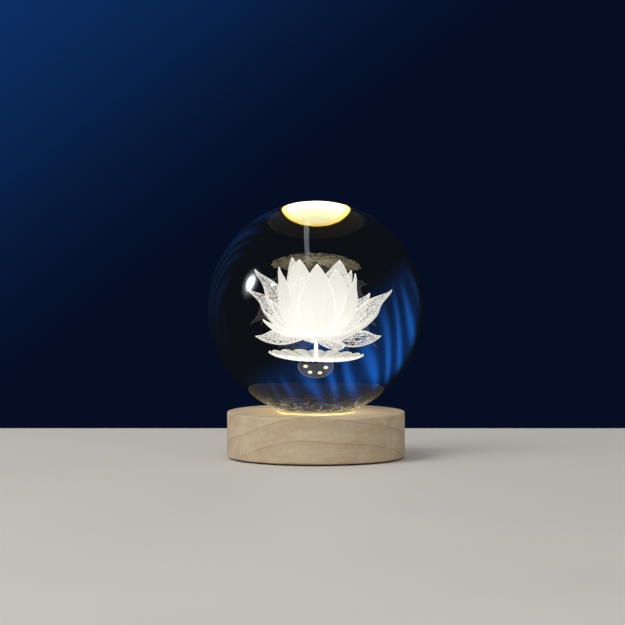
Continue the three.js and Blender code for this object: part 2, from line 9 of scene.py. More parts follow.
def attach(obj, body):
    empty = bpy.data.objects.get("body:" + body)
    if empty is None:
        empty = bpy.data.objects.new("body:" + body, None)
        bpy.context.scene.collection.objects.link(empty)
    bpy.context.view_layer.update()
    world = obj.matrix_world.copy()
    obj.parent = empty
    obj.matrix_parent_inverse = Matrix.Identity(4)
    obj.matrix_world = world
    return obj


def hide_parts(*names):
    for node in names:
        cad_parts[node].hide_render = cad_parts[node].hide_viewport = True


# Crystal ball lamp: a clear glass ball with a glowing lotus engraved inside it,
# on a turned wooden base that holds the light board, the inlet and the cover.
# Sizes here are in millimetres, and every mesh is turned into metres as it is
# made. Node trees, lamps and the camera are in metres.

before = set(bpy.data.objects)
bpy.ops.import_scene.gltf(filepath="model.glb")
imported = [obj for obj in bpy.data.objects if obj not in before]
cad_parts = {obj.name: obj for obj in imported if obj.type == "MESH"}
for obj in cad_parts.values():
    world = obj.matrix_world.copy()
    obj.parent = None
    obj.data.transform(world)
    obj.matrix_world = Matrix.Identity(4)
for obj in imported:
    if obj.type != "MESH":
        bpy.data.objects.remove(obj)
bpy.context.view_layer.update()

MM = 0.001

# Camera, and the floor that the lamp stands on
CAMERA_PLACE = (0.0, -1.348, 0.1308)
CAMERA_AIM = (-0.0013, 0.0, 0.0541)
CAMERA_LENS = 209.6
CAMERA_SENSOR = 36
FLOOR_SIZE = (1500, 760, 24)
FLOOR_BACK_EDGE = 125

# Ball and base, as in the solids. A size of three is width, depth and corner.
BALL_RADIUS = 39.996
FOOT_RADIUS = 14.5
FOOT_DROP = math.sqrt(BALL_RADIUS ** 2 - FOOT_RADIUS ** 2)
FOOT_EDGE = 0.25
BASE_BOTTOM = 0.6
BASE_TOP = 17.4
BASE_RADIUS = 33.0
EDGE_ROUND = 0.7
WELL_RADIUS = 12.0
WELL_EDGE = 0.3
BOARD_TOP = 10.9
BOARD_RECESS_RADIUS = 17.4
POCKET_TOP = 9.9
POCKET_RADIUS = 24.0
COVER_RADIUS = 27.3
COVER_BOTTOM = 0.8
COVER_TOP = 2.8
REBATE_RADIUS = 27.5
RING_INNER = 12.2
RING_OUTER = 14.3
RING_TOP = 18.2
BALL_CENTRE = RING_TOP + FOOT_DROP
BALL_RINGS = 150
RECESS_FLOOR = 28.2
CHAMBER_BACK = 27.0
CHAMBER = (15.8, 9.6, 0.4)
CHAMBER_MIDDLE = 22.6
PLUG_RECESS = (12.8, 7.2, 2)
SOCKET_WAY = (9.34, 3.6, 1.5)
SOCKET_HEIGHT = 7.3
SHELL_FRONT = 20.85
SHELL_OUTER = (8.94, 3.2, 1.3)
SHELL_INNER = (8.34, 2.6, 1.0)
SHELL_FLARE = (8.6, 2.86, 1.13)
TONGUE = (6.6, 4.6, 0.3)
TONGUE_MIDDLE = 23.85
TONGUE_HALF = 0.35
CONTACT = (0.25, 3.2, 0.06)
CONTACT_COUNT = 12
CONTACT_MIDDLE = 24.3
CONTACT_PITCH = 0.5
CONTACT_PROUD = 0.02
DIODE_RING = 8.6
DIODE_OUTLINE = ((-1.75, -1.4), (1.75, -1.4), (1.75, 0.9), (1.25, 1.4), (-1.75, 1.4))
DIODE_HEIGHT = 1.1
DIODE_LENS = (
    (0, 1.02), (1.1, 1.02), (1.1, 1.1), (1.02, 1.18), (0.75, 1.26), (0.35, 1.3), (0, 1.3),
)
DIODE_PAD = (0.5, 1.9, 0.1)
DIODE_PAD_OUT = 1.9
DIODE_PAD_TOP = 0.12
RESISTOR_BODY = (1.17, 1.3, 0.08)
RESISTOR_HEIGHT = 0.5
RESISTOR_END = (1.25, 0.36, 0.08)
RESISTOR_END_OUT = 0.82
RESISTOR_OUT = 2.2
DIODE_TURNS = [175 + 60 * i for i in range(6)]
COVER_SCREW_RING = 25.1
COVER_SCREW_TURNS = (30, 150, 270)
SCREW_HEAD = 1.5
SCREW_RADIUS = 0.75
SCREW_LENGTH = 6.6
SCREW_HOLE = 0.85
COUNTERSINK = 1.6
THREAD_ROOT = 0.6
THREAD_START = 1.4
THREAD_TURNS = 9
CROSS_LENGTH, CROSS_WIDTH, CROSS_DEPTH = 1.9, 0.34, 0.45
PAD_RING = 19.0
PAD_RADIUS = 4.0
PAD_TURNS = (45, 135, 225, 315)

# Engraved lotus, from its heart below the ball's centre
FLOWER_RADIUS = 20.0
FLOWER_HEIGHT = 20.0
HEART_DROP = 6.4
HEART_RADIUS = 2.1
HEART_HEIGHT = 2.0
PETAL_WIDTH = 10.0
PETAL_THICKNESS = 0.22
PETAL_ROOT_RADIUS = 1.2
PETAL_ROOT_SHARE = 0.3
PETAL_TAPER_SHARE = 0.32
PETAL_BLUNT_SHARE = 0.25
PETAL_ROLL_SHARE = 0.6
PETAL_TIP_START = 0.68
PETAL_TIP_NARROWING = 0.42
PETAL_TIP_HOOK = 0.75
PETAL_DRAWN_BELOW = 0.9
PETAL_LEAST_HALF = 0.07
PETAL_STEP = 0.004
PETAL_RUFFLE = 0.16
PETAL_WAVE = 0.09
PETAL_VEIN = 0.05
PETAL_KEEL = 0.22
PETAL_KEEL_WIDTH = 0.14
PETAL_ROWS = 26
PETAL_COLUMNS = 14
VEINS_PER_PETAL = 9
GLOW_REACH = 19.0
DROOPING_GLOW = 0.7
FILLED_GLOW = 0.52
STEM_RADIUS = 0.45
STEM_FLARE = 0.5
STEM_WAVE = 0.06
STEM_STEPS = 8
LILY_RADIUS = 11.75
LILY_DROP = 12.3
LILY_THICKNESS = 0.5
LILY_DISH = 1.3
LILY_LOBES = 20
LOBE_STEPS = 12
LILY_SHARES = (0.06, 0.14, 0.24, 0.36, 0.48, 0.6, 0.7, 0.8, 0.88, 0.94, 0.98, 1.0)
LILY_LOBE_DEPTH = 0.7
LILY_RIB = 0.35
LILY_RIM_SHARE = 0.98
LILY_RIM_ROUND = 0.12
LILY_TILT = 9.5
LILY_SWAY = 2
MIRRORED_RADIUS = 4.9
MIRRORED_CENTRE = (-0.07, -8.0, -15.45)
MIRRORED_TOP = 1.6
MIRRORED_SLOPE = 51.5
MIRRORED_DIODE_RING = 2.78
DOT_SIDES = 24

# Looks: the tree's middle line and growth rings, in metres, and the glass
PITH_X, PITH_Y, PITH_Z = 0.006, -0.027, -0.046
GROWTH_RING = 0.0078
GLASS_IOR = 1.517
FINE_GRIT = 2600.0

# Petals of each ring: turn about the stem, tip out and tip up as shares of the
# flower, lean at the root and at the tip, width share, cup, fullest share, how
# far the blade is rolled about its middle line, and how densely it is engraved.
FRONT_PETALS = (
    (-88, 0.43, 0.965, -5, 97, 1.08, 30, 0.56, 0, 1.00),
)
INNER_PETALS = (
    (-132, 0.325, 0.99, -5, 98, 1.10, 50, 0.60, 0, 0.93),
    (-46, 0.375, 0.865, -5, 98, 1.02, 52, 0.54, 0, 0.93),
    (-158, 0.525, 0.885, -5, 86, 0.95, 55, 0.50, 0, 0.72),
    (-14, 0.52, 0.785, -5, 98, 0.95, 55, 0.52, 0, 0.74),
    (133, 0.405, 0.90, -5, 90, 1.00, 50, 0.55, 0, 0.50),
    (56, 0.475, 0.845, -5, 94, 1.30, 48, 0.60, 0, 0.42),
    (92, 0.34, 0.70, -5, 100, 0.90, 50, 0.55, 0, 0.50),
)
MIDDLE_PETALS = (
    (-120, 0.40, 0.77, -5, 98, 0.98, 46, 0.55, 0, 0.95),
    (-135, 0.49, 0.57, -5, 92, 0.90, 46, 0.55, 0, 0.90),
    (38, 0.51, 0.745, -5, 86, 1.10, 50, 0.58, 0, 0.40),
    (150, 0.80, 0.745, -10, 60, 1.25, 48, 0.58, 0, 0.12),
    (26, 0.685, 0.485, -10, 72, 1.10, 45, 0.55, 14, 0.12),
    (112, 0.66, 0.62, -8, 70, 1.00, 45, 0.55, 0, 0.30),
)
OUTER_PETALS = (
    (176, 0.85, 0.56, -10, 48, 1.00, 50, 0.52, -24, 0.08),
    (-158, 0.76, 0.195, -10, 44, 0.90, 40, 0.50, -5, 0.93),
    (2, 0.965, 0.56, -8, 58, 1.20, 55, 0.54, 26, 0.32),
    (140, 0.72, 0.26, -10, 50, 0.95, 45, 0.50, 0, 0.40),
    (62, 0.80, 0.28, -10, 56, 0.95, 45, 0.50, 0, 0.40),
)
DROOPING_PETALS = (
    (-172, 0.785, -0.025, -18, 24, 0.85, 42, 0.52, -28, 0.25),
    (-24, 0.63, 0.085, -22, 34, 0.70, 35, 0.56, 34, 0.40),
    (-10, 0.865, -0.025, -20, 30, 0.94, 42, 0.55, 30, 0.00),
    (-56, 0.56, -0.22, -28, -5, 0.82, 30, 0.52, 0, 0.18),
    (96, 0.70, 0.05, -18, 34, 0.75, 40, 0.50, 0, 0.40),
)
# Each ring with the share of the flower's height at its root, how far its
# middle line bends, and how far its tips are drawn out
PETAL_RINGS = (
    (FRONT_PETALS, 0.02, 0.62, 0.0),
    (INNER_PETALS, 0.04, 0.48, 0.6),
    (MIDDLE_PETALS, 0.015, 0.42, 1.0),
    (OUTER_PETALS, 0.0, 0.42, 1.0),
    (DROOPING_PETALS, -0.015, 0.40, 0.45),
)


# Mesh tools. A part is a pair of its points, in millimetres, and its faces.

def paint(*screen):
    """Colour written as on a screen, as the linear colour that nodes take."""
    shares = [part / 255 for part in screen]
    return (*[part / 12.92 if part <= 0.04045 else ((part + 0.055) / 1.055) ** 2.4
              for part in shares], 1.0)


def around(radius, degrees):
    return radius * math.cos(math.radians(degrees)), radius * math.sin(math.radians(degrees))


def spun(degrees, axis="Z"):
    return Matrix.Rotation(math.radians(degrees), 4, axis)


def turned(profile, sides, x=0.0, y=0.0):
    """Closed profile of radius and height, turned about an upright line. Points
    on that line become one point each."""
    points, rings = [], []
    for radius, height in profile:
        count = sides if radius > 0 else 1
        rings.append([len(points) + side % count for side in range(sides)])
        for side in range(count):
            angle = 2 * math.pi * side / sides
            points.append((x + radius * math.cos(angle), y + radius * math.sin(angle), height))
    closed = profile[0][0] > 0 or profile[-1][0] > 0
    faces = []
    for lower, upper in zip(rings, rings[1:] + rings[:1] if closed else rings[1:]):
        for side in range(sides):
            onwards = (side + 1) % sides
            corners = (lower[side], lower[onwards], upper[onwards], upper[side])
            face = list(dict.fromkeys(corners))
            if len(face) > 2:
                faces.append(face)
    return points, faces


def rounded(corners, steps=4):
    """Outline with rounded corners, from a list of x, y and corner radius."""
    outline = []
    for i, (x, y, radius) in enumerate(corners):
        if radius <= 0:
            outline.append((x, y))
            continue
        corner = Vector((x, y))
        before = (Vector(corners[i - 1][:2]) - corner).normalized()
        after = (Vector(corners[(i + 1) % len(corners)][:2]) - corner).normalized()
        reach = radius / math.tan(before.angle(after) / 2)
        for step in range(steps + 1):
            share = step / steps
            # a quadratic arc lies close enough to the round at these sizes
            away = (1 - share) ** 2 * before + share ** 2 * after
            outline.append(tuple(corner + reach * away))
    return outline


def rounded_rectangle(width, height, corner, steps=6):
    x, y = width / 2, height / 2
    return rounded([(x, y, corner), (-x, y, corner), (-x, -y, corner), (x, -y, corner)], steps)


def loft(sections):
    """Closed body through sections that have as many points each."""
    points = [p for section in sections for p in section]
    count = len(sections[0])
    faces = [list(range(count))[::-1], [len(points) - count + i for i in range(count)]]
    for low in range(0, len(points) - count, count):
        for i in range(count):
            onwards = (i + 1) % count
            faces.append([low + i, low + onwards, low + count + onwards, low + count + i])
    return points, faces


def plate(outline, bottom, top, edge=0.0):
    """Upright plate on an outline in X and Y, its two rims broken by edge."""
    levels = [(bottom, 0.0), (top, 0.0)]
    if edge > 0:
        levels = [(bottom, edge), (bottom + edge, 0), (top - edge, 0), (top, edge)]
    centre = sum((Vector(p) for p in outline), Vector((0, 0))) / len(outline)
    sections = []
    for height, inset in levels:
        outs = [Vector(p) - centre for p in outline]
        sections.append([(*(centre + out * (1 - inset / out.length)), height) for out in outs])
    return loft(sections)


def block(width, depth, corner, bottom, top, edge=0.0, spot=(0, 0, 0), steps=2):
    """Plate with rounded corners, moved to its spot."""
    part = plate(rounded_rectangle(width, depth, corner, steps), bottom, top, edge)
    return moved(part, Matrix.Translation(spot))


def thin_body(spot, rows, columns, rim_rows, rim_columns=()):
    """Faces of a thin body between two sheets, with walls along its rims. Spot
    gives the number of a point from its sheet, row and column."""
    faces = []

    def quad(*corners):
        faces.append([spot(*corner) for corner in corners])

    for row in range(rows):
        after = row + 1
        for column in range(columns):
            right = column + 1
            quad((0, row, column), (0, after, column), (0, after, right), (0, row, right))
            quad((1, row, column), (1, row, right), (1, after, right), (1, after, column))
        for column in rim_columns:
            quad((0, row, column), (1, row, column), (1, after, column), (0, after, column))
    for column in range(columns):
        right = column + 1
        for row in rim_rows:
            quad((0, row, column), (0, row, right), (1, row, right), (1, row, column))
    return faces


def backwards(outline, front, back):
    """Outline in X and Z about the socket's height, run along Y."""
    return loft([[(x, y, SOCKET_HEIGHT + z) for x, z in outline] for y in (back, front)])


def merged(parts):
    points, faces = [], []
    for part_points, part_faces in parts:
        shift = len(points)
        points += part_points
        faces += [[corner + shift for corner in face] for face in part_faces]
    return points, faces


def moved(part, matrix):
    points, faces = part
    return [tuple(matrix @ Vector(p)) for p in points], faces


def new_object(name, part):
    points, faces = part
    mesh = bpy.data.meshes.new(name)
    mesh.from_pydata([tuple(c * MM for c in p) for p in points], [], faces)
    made = bpy.data.objects.new(name, mesh)
    bpy.context.scene.collection.objects.link(made)
    return made


def smooth(piece, below=35):
    """Shades the piece smooth where its faces meet at less than that angle."""
    mesh = piece.data
    mesh.polygons.foreach_set("use_smooth", [True] * len(mesh.polygons))
    mesh.set_sharp_from_angle(angle=math.radians(below))
    mesh.update()


def outwards(piece):
    """Turns all faces of the piece to look outwards."""
    work = bmesh.new()
    work.from_mesh(piece.data)
    bmesh.ops.recalc_face_normals(work, faces=work.faces)
    work.to_mesh(piece.data)
    work.free()
    piece.data.update()


def dress(piece, *finishes):
    piece.data.materials.clear()
    for finish in finishes:
        piece.data.materials.append(finish)


def new_piece(name, part, body, slot, replaced, *finishes, smooth_below=35):
    """Piece of the lamp on the body it moves with, for the node it replaces."""
    piece = new_object(name, part)
    piece.data.validate()
    smooth(piece, smooth_below)
    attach(piece, body)
    if replaced:
        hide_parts(replaced)
    outwards(piece)
    dress(piece, *finishes)
    return piece


def assembled(name, parts, matrix, slot, replaced):
    """Piece on the base from several parts, each given with its finish."""
    finishes = list(dict.fromkeys(finish for _, finish in parts))
    whole = moved(merged([part for part, _ in parts]), matrix)
    piece = new_piece(name, whole, "base", slot, replaced, *finishes)
    piece.data.polygons.foreach_set("material_index", [
        finishes.index(finish) for part, finish in parts for _ in part[1]])


def cut(piece, part):
    """Takes the closed body away from the piece."""
    cutter = new_object("cutter", part)
    outwards(cutter)
    modifier = piece.modifiers.new("cut", "BOOLEAN")
    modifier.operation = "DIFFERENCE"
    modifier.solver = "EXACT"
    modifier.object = cutter
    evaluated = piece.evaluated_get(bpy.context.evaluated_depsgraph_get())
    finished = bpy.data.meshes.new_from_object(evaluated)
    piece.modifiers.clear()
    finished.name = piece.name
    piece.data = finished
    bpy.data.objects.remove(cutter)
    smooth(piece)


# Node tools

def makes(operation):
    """Method of a value that makes the node of a sum, a product or the like."""
    return lambda *values: calc(operation, *values)


class Value:
    """Output of a node. Sums, products and the like of it are nodes too."""

    def __init__(self, socket):
        self.socket = socket

    def __rsub__(self, other):
        return calc("SUBTRACT", other, self)

    __add__ = makes("ADD")
    __sub__ = makes("SUBTRACT")
    __mul__ = makes("MULTIPLY")
    __truediv__ = makes("DIVIDE")
    __pow__ = makes("POWER")
    __gt__ = makes("GREATER_THAN")
    __lt__ = makes("LESS_THAN")
    __abs__ = makes("ABSOLUTE")


class Node:
    """Node of a tree: its outputs come as values, its inputs are filled by name."""

    def __init__(self, made):
        self.made = made

    def __getitem__(self, output):
        return Value(self.made.outputs[output])

    def fill(self, inputs):
        """Joins inputs to values, or sets them to numbers and colours."""
        for name, value in inputs.items():
            socket = self.made.inputs[name]
            if isinstance(value, Value):
                socket.id_data.links.new(value.socket, socket)
            else:
                socket.default_value = value


def place(kind, inputs, tree=None, **settings):
    """New node of that kind, in the tree given or in that of its inputs."""
    if tree is None:
        tree = next(value.socket.id_data for value in inputs.values() if isinstance(value, Value))
    node = Node(tree.nodes.new("ShaderNode" + kind))
    for name, value in settings.items():
        setattr(node.made, name, value)
    node.fill(inputs)
    return node


def calc(operation, *values):
    return place("Math", dict(enumerate(values)), operation=operation)[0]


def highest(first, *others):
    for other in others:
        first = calc("MAXIMUM", first, other)
    return first


def ease(value, low, high, start=0.0, end=1.0):
    """Value eased from start to end as it goes from low to high."""
    return place("MapRange", {
        "Value": value, "From Min": low, "From Max": high, "To Min": start, "To Max": end,
    }, interpolation_type="SMOOTHSTEP")["Result"]


def fade(value, low, high):
    return ease(value, low, high, 1.0, 0.0)


def blend(share, first, second, way="MIX"):
    return place("Mix", {0: share, 6: first, 7: second}, data_type="RGBA", blend_type=way)[2]


def tinted(first, second):
    return blend(1.0, first, second, "MULTIPLY")


def scaled(colour, level):
    return place("VectorMath", {0: colour, "Scale": level}, operation="SCALE")["Vector"]


def vector(operation, *values):
    node = place("VectorMath", dict(enumerate(values)), operation=operation)
    return node["Value" if operation in ("LENGTH", "DISTANCE") else "Vector"]


def split(value):
    return place("SeparateXYZ", {"Vector": value})


def joined(x, y):
    return place("CombineXYZ", {"X": x, "Y": y})[0]


def channel(colour, name):
    return place("SeparateColor", {"Color": colour})[name]


def cloudy(spot, scale, detail, roughness):
    return place("TexNoise", {
        "Vector": spot, "Scale": scale, "Detail": detail, "Roughness": roughness,
    })["Fac"]


def drawn_cloudy(spot, stretch, detail, roughness):
    """Noise with a scale of its own along each axis."""
    return cloudy(vector("MULTIPLY", spot, stretch), 1.0, detail, roughness)


def raised(height, strength, distance):
    return place("Bump", {"Height": height, "Strength": strength, "Distance": distance})["Normal"]


def here(tree):
    """Place in the lamp's own frame, in metres."""
    return place("TexCoord", {}, tree)["Object"]


def light_path(tree):
    return place("LightPath", {}, tree)


def on_blade(tree):
    """Sheet of a petal or lobe: the sheet, its two ways and how near a side."""
    sheet = place("UVMap", {}, tree, uv_map="blade")["UV"]
    ways = split(sheet)
    return sheet, ways["X"], ways["Y"], abs(ways["X"] * 2.0 - 1.0)


def noted(tree, name):
    """Number stored with the points of the mesh."""
    return place("Attribute", {}, tree, attribute_name=name)["Fac"]


def new_group(name, inputs, outputs):
    """Group of nodes, as its tree, its inputs and the node that it puts out."""
    tree = bpy.data.node_groups.new(name, "ShaderNodeTree")
    for label, value in inputs.items():
        kind = "NodeSocketFloat" if isinstance(value, float) else "NodeSocketColor"
        tree.interface.new_socket(label, in_out="INPUT", socket_type=kind).default_value = value
    for label in outputs:
        kind = "NodeSocketColor" if label == "Colour" else "NodeSocketFloat"
        tree.interface.new_socket(label, in_out="OUTPUT", socket_type=kind)
    return tree, Node(tree.nodes.new("NodeGroupInput")), Node(tree.nodes.new("NodeGroupOutput"))


def use(tree, group, **inputs):
    named = {name.replace("_", " "): value for name, value in inputs.items()}
    return place("Group", named, tree, node_tree=group)


def new_finish(name):
    """Material with a Principled shader, as material, tree and shader."""
    finish = bpy.data.materials.new(name)
    finish.use_nodes = True
    tree = finish.node_tree
    return finish, tree, Node(tree.nodes["Principled BSDF"])


def glowing(colour, strength):
    return {"Emission Color": colour, "Emission Strength": strength}


def show_mixed(tree, share, first, second):
    """Sends the first shader to the surface, mixed with the second by the share."""
    mixed = place("MixShader", {0: share, 1: first, 2: second})
    Node(tree.nodes["Material Output"]).fill({"Surface": mixed["Shader"]})


# Shared effects

def make_mottle():
    """Slow change of a colour over a surface, with fine grit for its bump."""
    tree, ins, outs = new_group("surface_mottle", {
        "Colour": (0.5, 0.5, 0.5, 1), "Spread": 0.12, "Patch Scale": 180.0,
        "Grit Scale": FINE_GRIT, "Roughness": 0.5, "Roughness Spread": 0.15,
    }, ("Colour", "Roughness", "Height"))
    spot = here(tree)
    patches = cloudy(spot, ins["Patch Scale"], 4.0, 0.55) - 0.5
    grit = cloudy(spot, ins["Grit Scale"], 2.0, 0.6)
    level = patches * ins["Spread"] * 2.0 + 1.0 + (grit - 0.5) * ins["Spread"]
    outs.fill({
        "Colour": scaled(ins["Colour"], level),
        "Roughness": patches * ins["Roughness Spread"] + ins["Roughness"],
        "Height": grit,
    })
    return tree


def make_scuffs():
    """Fine scratches that run mostly one way, as a mask."""
    tree, ins, outs = new_group("fine_scratches", {"Scale": 900.0, "Stretch": 14.0}, ("Mask",))
    stretch = place("CombineXYZ", {"X": ins["Stretch"], "Y": 1.0, "Z": 3.0})[0]
    lines = cloudy(vector("MULTIPLY", here(tree), stretch), ins["Scale"], 3.0, 0.65)
    outs.fill({"Mask": ease(lines, 0.55, 0.72)})
    return tree


def make_points():
    """Cloud of tiny engraved points, as an even field that a density cuts."""
    tree, ins, outs = new_group(
        "engraved_points", {"Grain": 3200.0, "Patch Scale": 520.0}, ("Points", "Patches"))
    spot = here(tree)
    outs.fill({
        "Points": ease(cloudy(spot, ins["Grain"], 2.0, 0.6), 0.34, 0.66),
        "Patches": ease(cloudy(spot, ins["Patch Scale"], 3.0, 0.6), 0.35, 0.65),
    })
    return tree


MOTTLE = make_mottle()
SCUFFS = make_scuffs()
POINTS = make_points()


# Finishes

def mottled(tree, shader, strength, distance, **inputs):
    """Gives the shader a mottled colour, its roughness and its bump."""
    mottle = use(tree, MOTTLE, **inputs)
    shader.fill({
        "Base Color": mottle["Colour"], "Roughness": mottle["Roughness"],
        "Normal": raised(mottle["Height"], strength, distance),
    })


def moulded(name, colour, roughness, spread=0.12, grit=FINE_GRIT, bump=0.05):
    """Opaque finish with slow mottle, fine grit and its bump."""
    finish, tree, shader = new_finish(name)
    mottled(tree, shader, bump, 0.0001, Colour=colour, Spread=spread, Grit_Scale=grit,
            Roughness=roughness)
    return finish


def brushed(name, colour, roughness):
    """Bare metal with fine scratches."""
    finish, tree, shader = new_finish(name)
    mottle = use(tree, MOTTLE, Colour=colour, Spread=0.2, Roughness=roughness,
                 Roughness_Spread=0.25)
    scratches = use(tree, SCUFFS)["Mask"]
    shader.fill({
        "Base Color": blend(scratches * 0.35, mottle["Colour"], (0.85, 0.85, 0.86, 1)),
        "Roughness": scratches * 0.12 + mottle["Roughness"],
        "Normal": raised(scratches, 0.12, 0.00005),
        # a dull share takes up the soft light, which the lamps keep out of mirrors
        "Metallic": 0.6,
    })
    return finish


def wood_finish():
    """Pale wood cut along the grain: growth rings lie round a line that runs
    left to right below and in front of the base, fibres and pores along it."""
    finish, tree, shader = new_finish("natural_wood")
    spot = here(tree)
    axes = split(spot)
    slow = cloudy(vector("MULTIPLY", spot, (0.6, 1.0, 1.0)), 26.0, 2.0, 0.5)
    reach = calc("SQRT", (axes["Y"] - PITH_Y) ** 2 + (axes["Z"] - PITH_Z) ** 2)
    rings = reach + (axes["X"] - PITH_X) ** 2 * 6.0 + slow * 0.012
    phase = calc("FRACT", rings / GROWTH_RING)
    ring_end = fade(phase, 0.955, 0.985)
    late = ease(phase, 0.5, 0.95) * ring_end
    line = ease(phase, 0.89, 0.95) * ring_end
    fibres = drawn_cloudy(spot, (90.0, 1900.0, 1900.0), 4.0, 0.6)
    broad = drawn_cloudy(spot, (22.0, 260.0, 260.0), 3.0, 0.55)
    sanded = cloudy(spot, 2300.0, 2.0, 0.7)
    pores = place("TexVoronoi", {
        "Vector": vector("MULTIPLY", spot, (700.0, 2400.0, 2400.0)), "Scale": 1.0,
    })
    fleck = fade(pores["Distance"], 0.14, 0.32) * ease(channel(pores["Color"], "Red"), 0.8, 0.86)
    colour = blend(ease(broad, 0.3, 0.7), paint(212, 194, 166), paint(198, 177, 146))
    for share, darker in (
        (line * 0.3 + late * 0.16, paint(160, 124, 88)),
        (ease(fibres, 0.45, 0.75) * 0.26, paint(168, 142, 109)),
        (ease(sanded, 0.5, 0.72) * 0.2, paint(150, 124, 94)),
        (fleck * 0.5, paint(118, 90, 64)),
    ):
        colour = blend(share, colour, darker)
    # painted reflection: the wood is painted darker where the glass mirrors it, darker still from
    # inside
    path = light_path(tree)
    mirrored = path["Glossy Depth"] > 0.5
    inside_glass = path["Transmission Depth"] > 0.5
    dimmed = blend(inside_glass, (0.38, 0.36, 0.22, 1), (0.25, 0.25, 0.13, 1))
    kept = blend(mirrored, (1, 1, 1, 1), dimmed)
    # painted light, as glow: warm light that leaks round the ball's foot onto the top, with
    # painted bright threads that the glass draws there and shows again on its underside
    out = vector("LENGTH", joined(axes["X"], axes["Y"]))
    top = ease(axes["Z"], 0.0169, 0.01735)
    near = fade(out, 0.0125, 0.032) * 0.34 + 0.05
    painted_leak_glow = highest(near * top, fade(out, 0.0118, 0.0124))
    turn = calc("ARCTAN2", axes["Y"], axes["X"])
    swirl = cloudy(joined(turn * 3.4, out * 620.0), 1.0, 3.0, 0.65)
    thread = fade(abs(swirl - 0.5), 0.0, 0.03)
    again = mirrored * (1.0 - inside_glass) * top
    lit = again * fade(out, 0.0145, 0.032) ** 2.4 * (thread * 3.0 + 0.12)
    warm = scaled(tinted(tinted(colour, paint(255, 226, 150)), kept), painted_leak_glow)
    shader.fill({
        "Base Color": tinted(colour, kept),
        "Roughness": fibres * 0.22 + 0.5,
        "Normal": raised(fibres * 0.4 + sanded * 0.4 - fleck, 0.35, 0.00008),
        **glowing(vector("ADD", warm, scaled((1.0, 0.93, 0.64), lit)), 0.9),
    })
    return finish


def glass_finish():
    """Polished solid glass with a few dusty specks that glow as painted glints. Lamps shine through
    it.
    """
    finish, tree, shader = new_finish("polished_glass")
    spot = here(tree)
    specks = place("TexVoronoi", {"Vector": spot, "Scale": 210.0})
    chosen = ease(channel(specks["Color"], "Green"), 0.9, 0.92)
    dust_and_glint = fade(specks["Distance"], 0.02, 0.045) * chosen
    smear = ease(cloudy(spot, 45.0, 3.0, 0.6), 0.55, 0.8)
    shader.fill({
        "Base Color": (0.985, 0.99, 0.985, 1), "IOR": GLASS_IOR, "Transmission Weight": 1.0,
        "Roughness": dust_and_glint * 0.3 + smear * 0.004,
        # the specks glow as painted glints
        **glowing(scaled((0.9, 0.88, 0.8), dust_and_glint), 0.5),
    })
    clear = place("BsdfTransparent", {"Color": (0.9, 0.91, 0.9, 1)}, tree)
    show_mixed(tree, light_path(tree)["Is Shadow Ray"], shader["BSDF"], clear["BSDF"])
    return finish


def foot_finish():
    """Ground foot of the ball, with the light of the diodes below painted on as glow, brightest
    over each diode and at the rim. Seen once more in the top of the ball it is a painted
    reflection, as bright as the lamps behind it."""
    finish, tree, shader = new_finish("lit_foot")
    spot = here(tree)
    axes = split(spot)
    flat = joined(axes["X"], axes["Y"])
    out = vector("LENGTH", flat)
    lit = highest(*[
        fade(vector("DISTANCE", flat, (*around(DIODE_RING * MM, turn), 0)), 0.0012, 0.0042)
        for turn in DIODE_TURNS
    ])
    level = lit * 0.9 + 0.4 + ease(out, 0.0105, 0.0145) * 0.35
    level = level * (cloudy(spot, 1400.0, 3.0, 0.6) * 0.2 + 0.9)
    shader.fill({
        "Base Color": (0.8, 0.78, 0.7, 1), "Roughness": 0.6,
        **glowing(scaled((1.0, 0.86, 0.54), level), 0.85),
    })
    # painted reflection of the foot in the top of the ball, yellow in the middle, orange at the rim
    again = blend(ease(out, 0.0105, 0.0138), (1.0, 0.93, 0.52, 1), (1.0, 0.6, 0.08, 1))
    again = scaled(again, ease(out, 0.0134, 0.0141, 1.0, 0.12))
    mirrored = place("Emission", {"Color": again, "Strength": 26.0})
    path = light_path(tree)
    reflected = highest(path["Is Glossy Ray"] - path["Is Transmission Ray"], 0.0)
    show_mixed(tree, reflected * (path["Glossy Depth"] < 1.5), shader["BSDF"],
               mirrored["Emission"])
    return finish


# What engraved points do with the light of the scene, besides being lit
ENGRAVED_SHADER = {"Base Color": (0.12, 0.12, 0.12, 1), "Roughness": 0.9, "Specular IOR Level": 0.0}


def engraving_finish(name, veins, strength=1.0):
    """White points engraved in the glass: dense at the edges and along the veins, filled in near
    the light where the painted glow is strong, sparse and streaky in between. The light of the
    diodes is painted on them as glow, brightest near the flower's heart."""
    finish, tree, shader = new_finish(name)
    sheet, side, along, across = on_blade(tree)
    glow = noted(tree, "glow")
    dense = noted(tree, "dense")
    group = use(tree, POINTS, Grain=3100.0)
    points = group["Points"]
    rim = highest(ease(across, 0.9, 0.97), ease(along, 0.965, 0.99))
    band = highest(ease(across, 0.7, 1.0), ease(along, 0.86, 1.0))
    streak = ease(drawn_cloudy(sheet, (19.0, 1.4, 1.0), 3.0, 0.6), 0.46, 0.6)
    vein = fade(abs(calc("SINE", side * (math.pi * veins))), 0.0, 0.35)
    filled = highest(band * 0.7, vein * 0.36, streak * 0.6, ease(glow, 0.55, 1.0) * 0.85, rim)
    thin = 1.0 - dense
    patchy = (group["Patches"] - 0.5) * 0.35
    share = 1.0 - thin * (1.0 - filled) + patchy * thin
    cover = ease(points + share - 1.0, -0.2, 0.0)
    # painted light of the diodes: brighter where the noted glow is high
    level = highest(dense - 0.6, 0.0) * 0.34 + (glow * 0.42 + 0.59)
    level = level * (points * 0.04 + 0.98) * (streak * 0.05 + 0.97) + rim * 0.2
    shader.fill({
        **ENGRAVED_SHADER, "Alpha": calc("MINIMUM", cover, 0.99),
        **glowing(scaled((1.0, 0.975, 0.885), level), strength),
    })
    return finish


